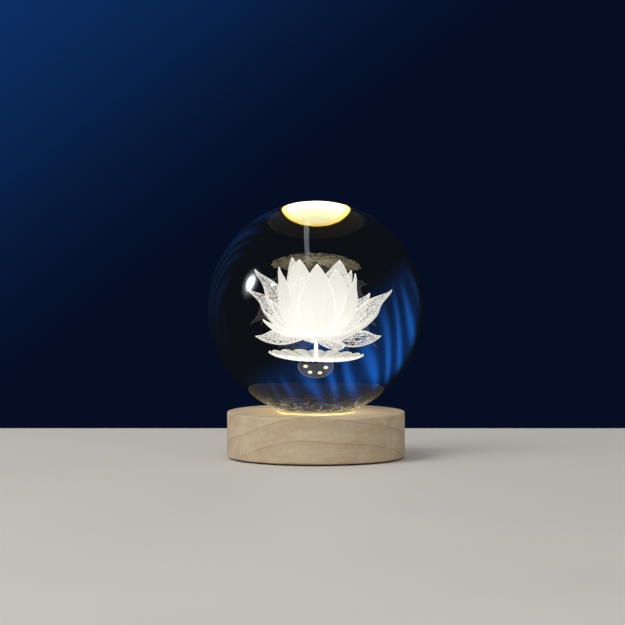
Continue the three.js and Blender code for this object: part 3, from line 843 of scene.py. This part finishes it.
def pad_finish():
    """Painted light of the diodes as glow: underside white and close to the light, lobes above
    it cream, with painted shade in the crease between them and darker outwards, and a painted
    bright band at the rim. The top of the ball shows the ribs of the underside again, dim,
    as a painted reflection."""
    finish, tree, shader = new_finish("engraved_pad")
    _, side, along, across = on_blade(tree)
    below = noted(tree, "dense")
    points = use(tree, POINTS, Grain=2300.0)["Points"]
    # painted shade in the crease between lobes and darker outwards, a painted bright band at the
    # rim
    crease_shade = ease(across, 0.45, 1.0) * -0.42 + 1.0
    shaded = ease(along, 0.3, 0.8) * -0.3 + 0.95
    top = crease_shade * shaded * (points * 0.08 + 0.93) + ease(along, 0.86, 0.9) * 0.25
    level = blend(below, top, (1.12, 1.12, 1.12, 1))
    shader.fill({**ENGRAVED_SHADER, **glowing(tinted(level, (1.0, 0.965, 0.86, 1)), 1.0)})
    # painted reflection of the underside's ribs, shaded towards the lobes' sides, brighter in the
    # middle
    rib = ease(abs(calc("SINE", side * (math.pi * 2))), 0.1, 0.7)
    ribs_and_shade = (rib * 0.7 + 0.35) * (ease(across, 0.35, 0.95) * -0.9 + 1.05)
    ribs_and_shade = ribs_and_shade * ease(along, 0.1, 0.85, 1.7, 0.7)
    again = place("Emission", {"Color": scaled((1.0, 0.84, 0.5), ribs_and_shade), "Strength": 4.0})
    show_mixed(tree, light_path(tree)["Is Transmission Ray"], again["Emission"], shader["BSDF"])
    return finish


def silicone_finish():
    """Clear silicone that carries the warm light of the well to its edge, painted on as glow,
    where it shows as a thin bright line under an amber one."""
    finish, tree, shader = new_finish("clear_silicone")
    mottled(tree, shader, 0.08, 0.00005, Colour=paint(176, 150, 112), Spread=0.1, Roughness=0.35)
    spot = here(tree)
    up = ease(split(spot)["Z"], (BASE_TOP + 0.25) * MM, (BASE_TOP + 0.45) * MM)
    uneven = ease(cloudy(spot, 260.0, 2.0, 0.5), 0.35, 0.65)
    amber = blend(uneven, (0.4, 0.2, 0.05, 1), (0.2, 0.1, 0.03, 1))
    bright = blend(uneven, (1.0, 0.78, 0.42, 1), (0.7, 0.46, 0.18, 1))
    shader.fill(glowing(blend(up, bright, amber), 0.5))
    return finish


def lens_finish():
    """Yellow phosphor under a clear lens, lit."""
    finish, tree, shader = new_finish("lit_phosphor")
    grains = cloudy(here(tree), 5200.0, 2.0, 0.6)
    colour = blend(grains, paint(250, 214, 96), paint(255, 236, 150))
    shader.fill({
        "Base Color": colour, "Roughness": grains * 0.1 + 0.12, "Coat Weight": 0.6,
        **glowing(colour, 3.0),
    })
    return finish


def board_finish(name, mask_colour, copper_colour, width, glow=0.0):
    """Solder mask over copper runs, with a faint weave of the board under it."""
    finish, tree, shader = new_finish(name)
    runs = place("TexBrick", {
        "Vector": here(tree), "Scale": 1.0, "Brick Width": width, "Row Height": 0.0019,
        "Color1": (0, 0, 0, 1), "Color2": (0, 0, 0, 1), "Mortar": (1, 1, 1, 1),
        "Mortar Size": 0.00016, "Mortar Smooth": 0.3,
    })["Fac"]
    mottle = use(tree, MOTTLE, Colour=mask_colour, Spread=0.06, Roughness=0.42)
    colour = blend(runs * 0.5, mottle["Colour"], copper_colour)
    shader.fill({
        "Base Color": colour, "Roughness": mottle["Roughness"],
        "Normal": raised(runs, 0.3, 0.00004),
        # painted light of the diodes on the board, as much as glow gives
        **glowing(tinted(colour, paint(255, 222, 160)), glow),
    })
    return finish


def mirrored_board_finish():
    """Faint brown disc with a thin rim: a painted reflection of the light board, as the glass
    shows it once more."""
    finish, tree, shader = new_finish("mirrored_board")
    spot = here(tree)
    spread = cloudy(spot, 900.0, 2.0, 0.5)
    x, y, z = MIRRORED_CENTRE
    away = vector("DISTANCE", spot, (x * MM, y * MM, (z + BALL_CENTRE) * MM))
    rim = ease(away, (MIRRORED_RADIUS - 0.35) * MM, (MIRRORED_RADIUS - 0.1) * MM)
    level = spread * 0.3 + 0.85 + rim * 0.5
    shader.fill({
        "Base Color": (0.02, 0.02, 0.02, 1), "Roughness": 1.0,
        "Alpha": rim * 0.2 + (spread * 0.1 + 0.12),
        **glowing(scaled((0.30, 0.25, 0.20), level), 0.6),
    })
    return finish


# painted reflection of the diodes: glowing dots
def mirrored_diode_finish(name, first, second):
    finish, tree, shader = new_finish(name)
    tone = blend(cloudy(here(tree), 2400.0, 1.0, 0.5), first, second)
    shader.fill({"Base Color": (0.1, 0.1, 0.1, 1), "Roughness": 1.0, **glowing(tone, 1.6)})
    return finish


WOOD = wood_finish()
GLASS = glass_finish()
FOOT = foot_finish()
PETALS = engraving_finish("engraved_petals", VEINS_PER_PETAL)
LILY = pad_finish()
STEM = engraving_finish("engraved_stem", 2, strength=1.2)
SILICONE = silicone_finish()
PHOSPHOR = lens_finish()
WHITE_BOARD = board_finish(
    "white_solder_mask", paint(240, 238, 230), paint(214, 208, 190), 0.0061, glow=0.55)
GREEN_BOARD = board_finish(
    "green_solder_mask", paint(40, 92, 64), paint(96, 140, 92), 0.0044)
DIODE_BODY = moulded("diode_body", paint(238, 226, 186), 0.4, 0.06)
RESISTOR = moulded("resistor_body", paint(34, 32, 30), 0.45)
TIN = brushed("tinned_steel", paint(196, 198, 199), 0.28)
SCREW_STEEL = brushed("screw_steel", paint(158, 160, 163), 0.34)
GOLD = brushed("gold_contacts", paint(214, 176, 98), 0.25)
BLACK_PLASTIC = moulded("black_plastic", paint(30, 30, 31), 0.5, 0.3)
RED_SLEEVE = moulded("red_insulation", paint(178, 38, 30), 0.45)
BLACK_SLEEVE = moulded("black_insulation", paint(26, 26, 28), 0.5, 0.25)
COVER_BOARD = moulded("cover_board", paint(48, 44, 41), 0.62, 0.35, 1500.0, 0.35)
RUBBER = moulded("foot_rubber", paint(38, 38, 38), 0.85, 0.3, 1900.0, 0.4)
MIRRORED_BOARD = mirrored_board_finish()
MIRRORED_DIODES = mirrored_diode_finish(
    "mirrored_diodes", (1.0, 0.93, 0.6, 1), (1.0, 0.97, 0.76, 1))
MIRRORED_RIMS = mirrored_diode_finish(
    "mirrored_diode_rims", (0.5, 0.42, 0.05, 1), (0.62, 0.54, 0.1, 1))


# Camera, floor, backdrop and lamps

def build_camera():
    lens = bpy.data.cameras.new("photo_camera")
    lens.lens = CAMERA_LENS
    lens.sensor_width = CAMERA_SENSOR
    lens.clip_end = 20
    camera = bpy.data.objects.new("photo_camera", lens)
    camera.location = CAMERA_PLACE
    aim = Vector(CAMERA_AIM) - Vector(CAMERA_PLACE)
    camera.rotation_euler = aim.to_track_quat("-Z", "Y").to_euler()
    bpy.context.scene.collection.objects.link(camera)
    bpy.context.scene.camera = camera


def build_floor():
    """Plain pale floor that ends a little behind the lamp."""
    width, length, thickness = FLOOR_SIZE
    outline = rounded_rectangle(width, length, 30, 10)
    outline = [(x, y + FLOOR_BACK_EDGE - length / 2) for x, y in outline]
    floor = new_object("pale_floor", plate(outline, -thickness, 0, 3))
    outwards(floor)
    finish, tree, shader = new_finish("pale_floor")
    mottle = use(tree, MOTTLE, Colour=paint(222, 220, 215), Spread=0.02, Patch_Scale=9.0,
                 Grit_Scale=700.0, Roughness=0.6)
    shader.fill({"Base Color": mottle["Colour"], "Roughness": mottle["Roughness"]})
    dress(floor, finish)
    # the glass shows the dark backdrop and not the floor
    floor.visible_transmission = False
    floor.visible_glossy = False


def build_backdrop():
    """Dark blue behind the lamp, with pale soft light on all that is dull."""
    world = bpy.data.worlds.new("backdrop")
    bpy.context.scene.world = world
    world.use_nodes = True
    tree = world.node_tree
    tree.nodes.clear()
    axes = split(place("TexCoord", {}, tree)["Generated"])
    slant = axes["Z"] - axes["X"] * 0.75
    # folds of blue light, even where they are faint
    uneven = calc("SINE", axes["X"] * 14.0 + 2.0) * 1.1
    folds = calc("SINE", axes["X"] * 39.0 + axes["Z"] * 12.0 + uneven)
    fold = (folds * 0.5 + 0.5) ** 2.0 * 0.8 + 0.2
    fold = (fold - 0.5) * ease(slant, 0.15, 0.4) + 0.5
    behind = ease(axes["Y"], 0.3, 0.62) * ease(axes["Z"], 0.44, 0.72, 1.0, 0.16)
    share = ease(slant, 0.02, 0.85) * behind
    near = ease(slant, -0.02, 0.16) * ease(axes["Y"], 0.96, 0.985)
    # painted reflection: the blue is painted fainter where the polished outside of the ball mirrors
    # it than where the inside shows it
    path = light_path(tree)
    outside = (path["Glossy Depth"] > 0.5) * (path["Transmission Depth"] < 0.5)
    tint = highest(share * fold, near * 0.3) * (outside * -0.5 + 1.0)
    plain = blend(path["Is Camera Ray"], paint(13, 16, 20), paint(6, 14, 36))
    colour = blend(tint, plain, paint(28, 98, 196))
    seen = place("Background", {"Color": colour, "Strength": 1.0})
    soft = place("Background", {"Color": (1.0, 0.985, 0.96, 1), "Strength": 0.38}, tree)
    looked_at = path["Is Camera Ray"] + path["Is Glossy Ray"] + path["Is Transmission Ray"]
    mixed = place("MixShader", {0: calc("MINIMUM", looked_at, 1.0), 1: soft[0], 2: seen[0]})
    place("OutputWorld", {"Surface": mixed[0]}).made.is_active_output = True


# Softboxes: name, place, aim, size, watts, colour, whether they are there for
# the polished glass to mirror (and light nothing), and how far they are turned
LAMP_MIDDLE = (0, 0, 0.05)
SOFTBOXES = (
    ("key_softbox", (-0.85, -0.65, 1.05), LAMP_MIDDLE, (0.7, 0.7), 11.5,
     (1.0, 0.97, 0.92), False, 0),
    ("fill_softbox", (0.9, -0.9, 0.5), LAMP_MIDDLE, (0.9, 0.9), 1.6,
     (0.92, 0.95, 1.0), False, 0),
    ("highlight_softbox", (-0.64, -0.126, 0.315), (0, 0, 0.055), (0.34, 0.42), 3.6,
     (0.86, 0.94, 1.0), True, 0),
    ("strip_softbox", (-0.08, -0.1, 0.65), LAMP_MIDDLE, (0.04, 0.62), 0.2,
     (0.84, 0.93, 1.0), True, 36),
    ("small_softbox", (-0.44, -0.374, 0.321), LAMP_MIDDLE, (0.034, 0.034), 0.14,
     (1.0, 0.99, 0.96), True, 0),
)


def build_lamps():
    lights = {}
    for name, spot, aim, size, watts, colour, mirrored, turn in SOFTBOXES:
        light = lights[name] = bpy.data.lights.new(name, "AREA")
        light.shape = "RECTANGLE"
        light.size, light.size_y = size
        light.energy = watts
        light.color = colour
        lamp = bpy.data.objects.new(name, light)
        lamp.location = spot
        aimed = (Vector(aim) - Vector(spot)).to_track_quat("-Z", "Y").to_matrix()
        lamp.rotation_euler = (aimed @ Matrix.Rotation(math.radians(turn), 3, "Z")).to_euler()
        lamp.visible_glossy = mirrored
        lamp.visible_diffuse = not mirrored
        lamp.visible_transmission = False
        bpy.context.scene.collection.objects.link(lamp)
    soften(lights["highlight_softbox"])


def soften(light):
    """Makes a lamp brightest in its middle and fade out towards its edges."""
    light.use_nodes = True
    tree = light.node_tree
    tree.nodes.clear()
    across = place("NewGeometry", {}, tree)["Parametric"]
    away = split(vector("SUBTRACT", across, (0.5, 0.5, 0.0)))
    out = vector("LENGTH", joined(away["X"], away["Y"]))
    strength = fade(out, 0.02, 0.26) * 5.0 + fade(out, 0.05, 0.5) ** 2.0
    shine = place("Emission", {"Strength": strength})
    place("OutputLight", {"Surface": shine["Emission"]})


# Base

def build_wooden_base():
    profile = rounded([
        (REBATE_RADIUS, BASE_BOTTOM, 0), (BASE_RADIUS, BASE_BOTTOM, EDGE_ROUND),
        (BASE_RADIUS, BASE_TOP, EDGE_ROUND), (WELL_RADIUS, BASE_TOP, WELL_EDGE),
        (WELL_RADIUS, BOARD_TOP, 0), (BOARD_RECESS_RADIUS, BOARD_TOP, 0),
        (BOARD_RECESS_RADIUS, POCKET_TOP, 0), (POCKET_RADIUS, POCKET_TOP, 0),
        (POCKET_RADIUS, COVER_TOP, 0), (REBATE_RADIUS, COVER_TOP, 0),
    ])
    base = new_piece("turned_wooden_base", turned(profile, 192), "base", "wood", "wooden_base",
                     WOOD)
    # chamber of the inlet board, plug recess, and the way through for the socket
    cut(base, block(*CHAMBER, COVER_TOP - 1, POCKET_TOP, spot=(0, CHAMBER_MIDDLE, 0)))
    cut(base, backwards(rounded_rectangle(*PLUG_RECESS), RECESS_FLOOR, BASE_RADIUS + 1))
    cut(base, backwards(rounded_rectangle(*SOCKET_WAY), CHAMBER_BACK - 1, RECESS_FLOOR + 1))


def build_seat_ring():
    profile = rounded([
        (RING_INNER, BASE_TOP, 0.2), (RING_OUTER, BASE_TOP, 0.2),
        (RING_OUTER, RING_TOP, 0.2), (RING_INNER, RING_TOP, 0.2),
    ], 3)
    ring = new_piece("clear_seat_ring", turned(profile, 160), "base", "clear_silicone",
                     "seat_ring", SILICONE)
    ring.visible_glossy = False


def build_diodes():
    """Housing with one corner cut off, a lens, and a tinned pad at each end."""
    housing = plate(DIODE_OUTLINE, 0, DIODE_HEIGHT, 0.06)
    parts = [(housing, DIODE_BODY), (turned(DIODE_LENS, 40), PHOSPHOR)]
    for x in (-DIODE_PAD_OUT, DIODE_PAD_OUT):
        parts.append((block(*DIODE_PAD, 0.0, DIODE_PAD_TOP, spot=(x, 0, 0)), TIN))
    for i, turn in enumerate(DIODE_TURNS):
        spot = Matrix.Translation((*around(DIODE_RING, turn), BOARD_TOP)) @ spun(turn + 90)
        assembled(f"diode_package_{i + 1}", parts, spot, "diode", f"diode_{i + 1}")


def build_resistors():
    parts = [(block(*RESISTOR_BODY, 0, RESISTOR_HEIGHT - 0.02, 0.04), RESISTOR)]
    for y in (-RESISTOR_END_OUT, RESISTOR_END_OUT):
        parts.append((block(*RESISTOR_END, 0, RESISTOR_HEIGHT, 0.05, (0, y, 0)), TIN))
    for i, x in enumerate((-RESISTOR_OUT, RESISTOR_OUT)):
        assembled(f"chip_resistor_{i + 1}", parts, Matrix.Translation((x, 0, BOARD_TOP)),
                  "chip", f"resistor_{i + 1}")


def build_socket():
    """Metal shell with rolled lips, and a tongue with its row of contacts."""
    outer, inner, flare = (
        rounded_rectangle(*size, 8) for size in (SHELL_OUTER, SHELL_INNER, SHELL_FLARE))
    # each outline with its place along Y, and the shares it is narrowed and lowered to
    shell = loft([
        [(x * narrower, y, z * lower + SOCKET_HEIGHT) for x, z in outline]
        for outline, y, narrower, lower in (
            (outer, SHELL_FRONT, 0.985, 0.96), (outer, SHELL_FRONT + 0.15, 1, 1),
            (outer, RECESS_FLOOR - 0.1, 1, 1), (outer, RECESS_FLOOR, 0.993, 0.98),
            (flare, RECESS_FLOOR, 1, 1), (inner, RECESS_FLOOR - 0.35, 1, 1),
            (inner, SHELL_FRONT + 0.7, 1, 1),
        )
    ])
    new_piece("socket_metal_shell", shell, "base", "tinned_steel", "socket_shell", TIN,
              smooth_below=40)
    tongue = block(*TONGUE, -TONGUE_HALF, TONGUE_HALF, 0.05, (0, TONGUE_MIDDLE, 0), 3)
    parts = [(tongue, BLACK_PLASTIC)]
    half = TONGUE_HALF + CONTACT_PROUD
    for i in range(CONTACT_COUNT):
        x = (i - (CONTACT_COUNT - 1) / 2) * CONTACT_PITCH
        parts.append((block(*CONTACT, -half, half, spot=(x, CONTACT_MIDDLE, 0)), GOLD))
    assembled("socket_contact_tongue", parts, Matrix.Translation((0, 0, SOCKET_HEIGHT)),
              "black_plastic", "socket_tongue")


def build_cover():
    """Round board with three countersunk holes."""
    profile = rounded([
        (0, COVER_BOTTOM, 0), (COVER_RADIUS, COVER_BOTTOM, 0.25),
        (COVER_RADIUS, COVER_TOP, 0.1), (0, COVER_TOP, 0),
    ], 3)
    cover = new_piece("bottom_cover_board", turned(profile, 128), "base", "cover_board",
                      "bottom_cover", COVER_BOARD)
    hole = [
        (0, COVER_BOTTOM - 1), (COUNTERSINK, COVER_BOTTOM - 1), (COUNTERSINK, COVER_BOTTOM),
        (SCREW_HOLE, COVER_BOTTOM + 1), (SCREW_HOLE, COVER_TOP + 1), (0, COVER_TOP + 1),
    ]
    for turn in COVER_SCREW_TURNS:
        cut(cover, turned(hole, 32, *around(COVER_SCREW_RING, turn)))


def build_cover_screws():
    """Countersunk screws with a thread and a cross recess."""
    profile = [(0, 0), (SCREW_HEAD - 0.08, 0), (SCREW_HEAD, 0.06), (SCREW_RADIUS, 1.0)]
    thread_end = SCREW_LENGTH - SCREW_RADIUS
    for step in range(THREAD_TURNS):
        low = THREAD_START + (thread_end - THREAD_START) * step / THREAD_TURNS
        profile += [(SCREW_RADIUS, low), (THREAD_ROOT, low + 0.12), (THREAD_ROOT, low + 0.3)]
    profile += [(SCREW_RADIUS, thread_end), (0, SCREW_LENGTH)]
    profile = [(radius, height + COVER_BOTTOM) for radius, height in profile]
    x, y = CROSS_LENGTH / 2, CROSS_WIDTH / 2
    slot = plate([(-x, -y), (x, -y), (x, y), (-x, y)],
                 COVER_BOTTOM - 0.5, COVER_BOTTOM + CROSS_DEPTH)
    for i, turn in enumerate(COVER_SCREW_TURNS):
        x, y = around(COVER_SCREW_RING, turn)
        screw = new_piece(f"cover_screw_cross_{i + 1}", turned(profile, 32, x, y), "base",
                          "screw_steel", f"cover_screw_{i + 1}", SCREW_STEEL)
        for angle in (0, 90):
            cut(screw, moved(slot, Matrix.Translation((x, y, 0)) @ spun(turn + angle)))


def build_foot_pads():
    profile = rounded([
        (0, 0, 0), (PAD_RADIUS, 0, 0.3), (PAD_RADIUS, COVER_BOTTOM, 0), (0, COVER_BOTTOM, 0),
    ])
    for i, turn in enumerate(PAD_TURNS):
        new_piece(f"rubber_foot_{i + 1}", turned(profile, 64, *around(PAD_RING, turn)), "base",
                  "rubber_pad", f"foot_pad_{i + 1}", RUBBER)


# Ball with its engraving

def lifted(part):
    """The part, given about the ball's centre, at that centre's height."""
    points, faces = part
    return [(x, y, z + BALL_CENTRE) for x, y, z in points], faces


def build_ball():
    """Solid ball, ground flat at the foot, with a small broken edge there."""
    start = math.asin(-FOOT_DROP / BALL_RADIUS) + math.radians(0.3)
    profile = [(0, -FOOT_DROP), (FOOT_RADIUS - FOOT_EDGE, -FOOT_DROP)]
    for ring in range(BALL_RINGS):
        angle = start + (math.pi / 2 - start) * ring / BALL_RINGS
        profile.append((BALL_RADIUS * math.cos(angle), BALL_RADIUS * math.sin(angle)))
    profile.append((0, BALL_RADIUS))
    ball = new_piece("glass_ball", lifted(turned(profile, 256)), "ball", "optical_glass",
                     "crystal_ball", GLASS, FOOT, smooth_below=40)
    for polygon in ball.data.polygons:
        if polygon.center.z < RING_TOP * MM + 1e-6:
            polygon.material_index = 1
    ball.visible_diffuse = False


def engraved(name, part, replaced, notes, finish):
    """Engraved piece, each point with its place across and along its petal, how
    brightly it is lit and how densely it is engraved."""
    piece = new_piece(name, lifted(part), "ball", "engraving", replaced, finish, smooth_below=60)
    piece.visible_diffuse = False
    mesh = piece.data
    notes = np.array(notes, np.float32)
    corners = np.zeros(len(mesh.loops), np.int32)
    mesh.loops.foreach_get("vertex_index", corners)
    layer = mesh.uv_layers.new(name="blade")
    layer.data.foreach_set("uv", notes[corners, :2].ravel())
    for index, label in ((2, "glow"), (3, "dense")):
        values = mesh.attributes.new(label, "FLOAT", "POINT")
        values.data.foreach_set("value", notes[:, index].copy())


def petal_outline(along, fullest):
    """Share of a petal's width at a place along it."""
    if along < fullest:
        opened = math.sin(math.pi / 2 * along / fullest)
        return PETAL_ROOT_SHARE + (1 - PETAL_ROOT_SHARE) * opened
    onwards = (along - fullest) / (1 - fullest)
    tapered = onwards * (1 - PETAL_TAPER_SHARE * (1 - onwards))
    narrowing = max(math.cos(math.pi / 2 * tapered), 0)
    return (1 - PETAL_BLUNT_SHARE) * narrowing + PETAL_BLUNT_SHARE * math.sqrt(narrowing)


def bezier(points, along):
    back = 1 - along
    weights = (back ** 3, 3 * back ** 2 * along, 3 * back * along ** 2, along ** 3)
    return sum((Vector(p) * w for p, w in zip(points, weights)), Vector((0, 0)))


def petal_points(shape, root_up, bend_share, drawn_out, seed):
    """Points of a petal's two sheets, row by row, each with its notes."""
    turn, tip_out, tip_up, root_lean, tip_lean, width_share, cup, fullest, roll, dense = shape
    root = Vector((PETAL_ROOT_RADIUS, -HEART_DROP + root_up * FLOWER_HEIGHT))
    tip = Vector((tip_out * FLOWER_RADIUS, -HEART_DROP + tip_up * FLOWER_HEIGHT))
    bend = bend_share * (tip - root).length
    line = (root, root + Vector(around(bend, root_lean)), tip - Vector(around(bend, tip_lean)), tip)
    widest = width_share * PETAL_WIDTH / 2
    curl = widest / math.radians(cup)
    spin = spun(turn)
    heart = Vector((0, 0, -HEART_DROP))
    drooping = root_up < 0
    if dense > PETAL_DRAWN_BELOW:
        drawn_out = 0.0
    sheets = ([], [])
    for row in range(PETAL_ROWS + 1):
        along = row / PETAL_ROWS
        heading = (bezier(line, min(along + PETAL_STEP, 1))
                   - bezier(line, max(along - PETAL_STEP, 0))).normalized()
        inward = Vector((-heading.y, heading.x))
        rolled = math.radians(roll) * math.sin(math.pi / 2 * min(along / PETAL_ROLL_SHARE, 1))
        near_tip = max(along - PETAL_TIP_START, 0) / (1 - PETAL_TIP_START)
        narrowing = PETAL_TIP_NARROWING * drawn_out * near_tip * near_tip * (3 - 2 * near_tip)
        half = max(widest * petal_outline(along, fullest) * (1 - narrowing), PETAL_LEAST_HALF)
        spot = bezier(line, along)
        if not drooping:
            spot += inward * PETAL_TIP_HOOK * drawn_out * math.sin(math.pi * near_tip) ** 2
        body = math.sin(math.pi * min(along * 1.02, 1)) ** 0.5
        for sheet, thick in zip(sheets, (-PETAL_THICKNESS / 2, PETAL_THICKNESS / 2)):
            for column in range(PETAL_COLUMNS + 1):
                across = 2 * column / PETAL_COLUMNS - 1
                edge_fade = 1 - abs(across) ** 3
                ruffle = PETAL_RUFFLE * body * across ** 2 * noise.noise(
                    Vector((along * 3.1, across * 1.7, seed * 7.3)))
                vein = PETAL_VEIN * body * edge_fade * math.cos(math.pi * VEINS_PER_PETAL * across)
                keel = PETAL_KEEL * body * math.exp(-(across / PETAL_KEEL_WIDTH) ** 2)
                radius = curl + thick * (0.35 + 0.65 * edge_fade) + vein + keel + ruffle
                wavy = 1 + PETAL_WAVE * body * noise.noise(
                    Vector((along * 5.2, math.copysign(3.0, across), seed * 5.1)))
                angle = across * half * wavy / curl
                lift = curl - radius * math.cos(angle)
                aside = radius * math.sin(angle)
                out = spot + inward * (aside * math.sin(rolled) + lift * math.cos(rolled))
                aside = aside * math.cos(rolled) - lift * math.sin(rolled)
                place_at = spin @ Vector((out.x, aside, out.y))
                # painted light of the diodes: glow falls off from the heart, dimmer on drooping
                # petals
                glow = min(max(1.18 - (place_at - heart).length / GLOW_REACH, 0.05), 1.0)
                if drooping:
                    glow *= DROOPING_GLOW
                filled = min(dense + max(glow - FILLED_GLOW, 0.0), 1.0)
                sheet.append((place_at, column / PETAL_COLUMNS, along, glow, filled))
    return sheets[0] + sheets[1]


def build_flower():
    """All petals with the seed head that they grow from."""

    def spot(sheet, row, column):
        return (sheet * (PETAL_ROWS + 1) + row) * (PETAL_COLUMNS + 1) + column

    faces = thin_body(spot, PETAL_ROWS, PETAL_COLUMNS, (0, PETAL_ROWS), (0, PETAL_COLUMNS))
    parts, notes = [], []
    for petals, *ring in PETAL_RINGS:
        for shape in petals:
            petal = petal_points(shape, *ring, seed=len(parts) + 1)
            parts.append(([tuple(place_at) for place_at, *_ in petal], faces))
            notes += [note for _, *note in petal]
    half = HEART_HEIGHT / 2
    head = turned([(HEART_RADIUS * out, half * up - HEART_DROP) for out, up in (
        (0, -1), (0.5, -1), (0.85, -0.5), (1, 0), (0.9, 0.6), (0.5, 1), (0, 1))], 24)
    notes += [(0.5, 0.3, 1.0, 0.9)] * len(head[0])
    engraved("engraved_lotus_flower", merged([*parts, head]), "lotus_flower", notes, PETALS)


def build_stem():
    """Thin stem, widened where it leaves the pad and where it meets the flower."""
    top = -HEART_DROP - HEART_HEIGHT / 2
    bottom = -LILY_DROP + 0.05
    profile = [(0, bottom), (STEM_RADIUS * 1.5, bottom), (STEM_RADIUS, bottom + STEM_FLARE)]
    for step in range(1, STEM_STEPS + 1):
        up = bottom + STEM_FLARE + (top - bottom - 2 * STEM_FLARE) * step / STEM_STEPS
        profile.append((STEM_RADIUS * (1 - STEM_WAVE * math.sin(step)), up))
    stem = turned([*profile, (STEM_RADIUS * 1.9, top), (0, top)], 24)
    # painted light: the stem glows brighter towards its bottom
    notes = [(0.5, 0.5, 1.0 - 0.2 * (z - bottom) / 8, 0.85) for _, _, z in stem[0]]
    engraved("engraved_stem", stem, "lotus_stem", notes, STEM)


def build_lily_pad():
    """Shallow dish with scalloped lobes, lit from below by the diodes."""
    around_steps = LILY_LOBES * LOBE_STEPS
    per_face = 1 + len(LILY_SHARES) * around_steps
    points, notes = [], []
    for face, glow in ((0, 0.55), (1, 1.0)):
        lift = -LILY_THICKNESS * face
        points.append((0, 0, lift))
        notes.append((0.5, 0.0, glow, float(face)))
        for share in LILY_SHARES:
            for step in range(around_steps):
                phase = (step / LOBE_STEPS) % 1
                side = abs(2 * ((phase + 0.5) % 1) - 1)
                notch = 1 - math.sqrt(max(1 - side ** 2, 0))
                radius = share * (LILY_RADIUS - LILY_LOBE_DEPTH * notch * share)
                thin = 0.0 if share < LILY_RIM_SHARE else LILY_RIM_ROUND
                rise = LILY_DISH * share ** 3 - LILY_RIB * share * side ** 2.5 + lift
                rise += thin if face else -thin
                points.append((*around(radius, 360 * step / around_steps), rise))
                across = (phase + 0.5) % 1 if step % LOBE_STEPS != LOBE_STEPS // 2 else 1.0
                notes.append((across, share * 0.9, glow, float(face)))

    def spot(face, ring, step):
        return face * per_face + 1 + ring * around_steps + step % around_steps

    rim = len(LILY_SHARES) - 1
    faces = thin_body(spot, rim, around_steps, (rim,))
    for step in range(around_steps):
        faces.append([0, spot(0, 0, step), spot(0, 0, step + 1)])
        faces.append([per_face, spot(1, 0, step + 1), spot(1, 0, step)])
    tilt = spun(LILY_SWAY, "Y") @ spun(LILY_TILT, "X")
    pad = moved((points, faces), Matrix.Translation((0, 0, -LILY_DROP)) @ tilt)
    engraved("engraved_lily_pad", pad, "lily_pad", notes, LILY)


def build_mirrored_board():
    """Painted reflection: the light board with its diodes as the inside of the glass shows it
    once more, small and below the lily pad, which hides its upper part."""
    outline = [around(MIRRORED_RADIUS, 360 * step / 64) for step in range(64)]
    disc = plate([(x, y) for x, y in outline if y < MIRRORED_TOP], -0.03, 0.03)
    dot = [(0, -0.12), (0.42, -0.1), (0.66, 0), (0.42, 0.1), (0, 0.12)]
    places = [around(MIRRORED_DIODE_RING, turn) for turn in DIODE_TURNS]
    dots = [turned(dot, DOT_SIDES, x, y) for x, y in places if y < MIRRORED_TOP - 1]
    spot = Matrix.Translation(MIRRORED_CENTRE) @ spun(MIRRORED_SLOPE, "X")
    image = moved(merged([disc, *dots]), spot)
    image = new_piece("mirrored_light_board", lifted(image), "ball", "engraving", "",
                      MIRRORED_BOARD, MIRRORED_DIODES, MIRRORED_RIMS, smooth_below=50)
    # the middles of the dots are bright, and their rims dimmer
    numbers = [0] * len(disc[1])
    for ring in [1, 2, 2, 1] * len(dots):
        numbers += [ring] * DOT_SIDES
    image.data.polygons.foreach_set("material_index", numbers)
    image.visible_diffuse = False
    image.visible_glossy = False
    image.visible_shadow = False


def dress_solids():
    """Finishes of the solids that show as they are."""
    screws = [f"board_screw_{i}" for i in (1, 2, 3)] + [f"inlet_screw_{i}" for i in (1, 2)]
    finishes = {
        "light_board": WHITE_BOARD, "inlet_board": GREEN_BOARD,
        "power_wire_red": RED_SLEEVE, "power_wire_black": BLACK_SLEEVE,
        **dict.fromkeys(screws, SCREW_STEEL),
    }
    for name, finish in finishes.items():
        dress(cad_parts[name], finish)


bpy.context.scene.view_settings.view_transform = "Standard"
build_camera()
build_floor()
build_backdrop()
build_lamps()
build_wooden_base()
build_seat_ring()
build_diodes()
build_resistors()
build_socket()
build_cover()
build_cover_screws()
build_foot_pads()
build_ball()
build_flower()
build_stem()
build_lily_pad()
build_mirrored_board()
dress_solids()
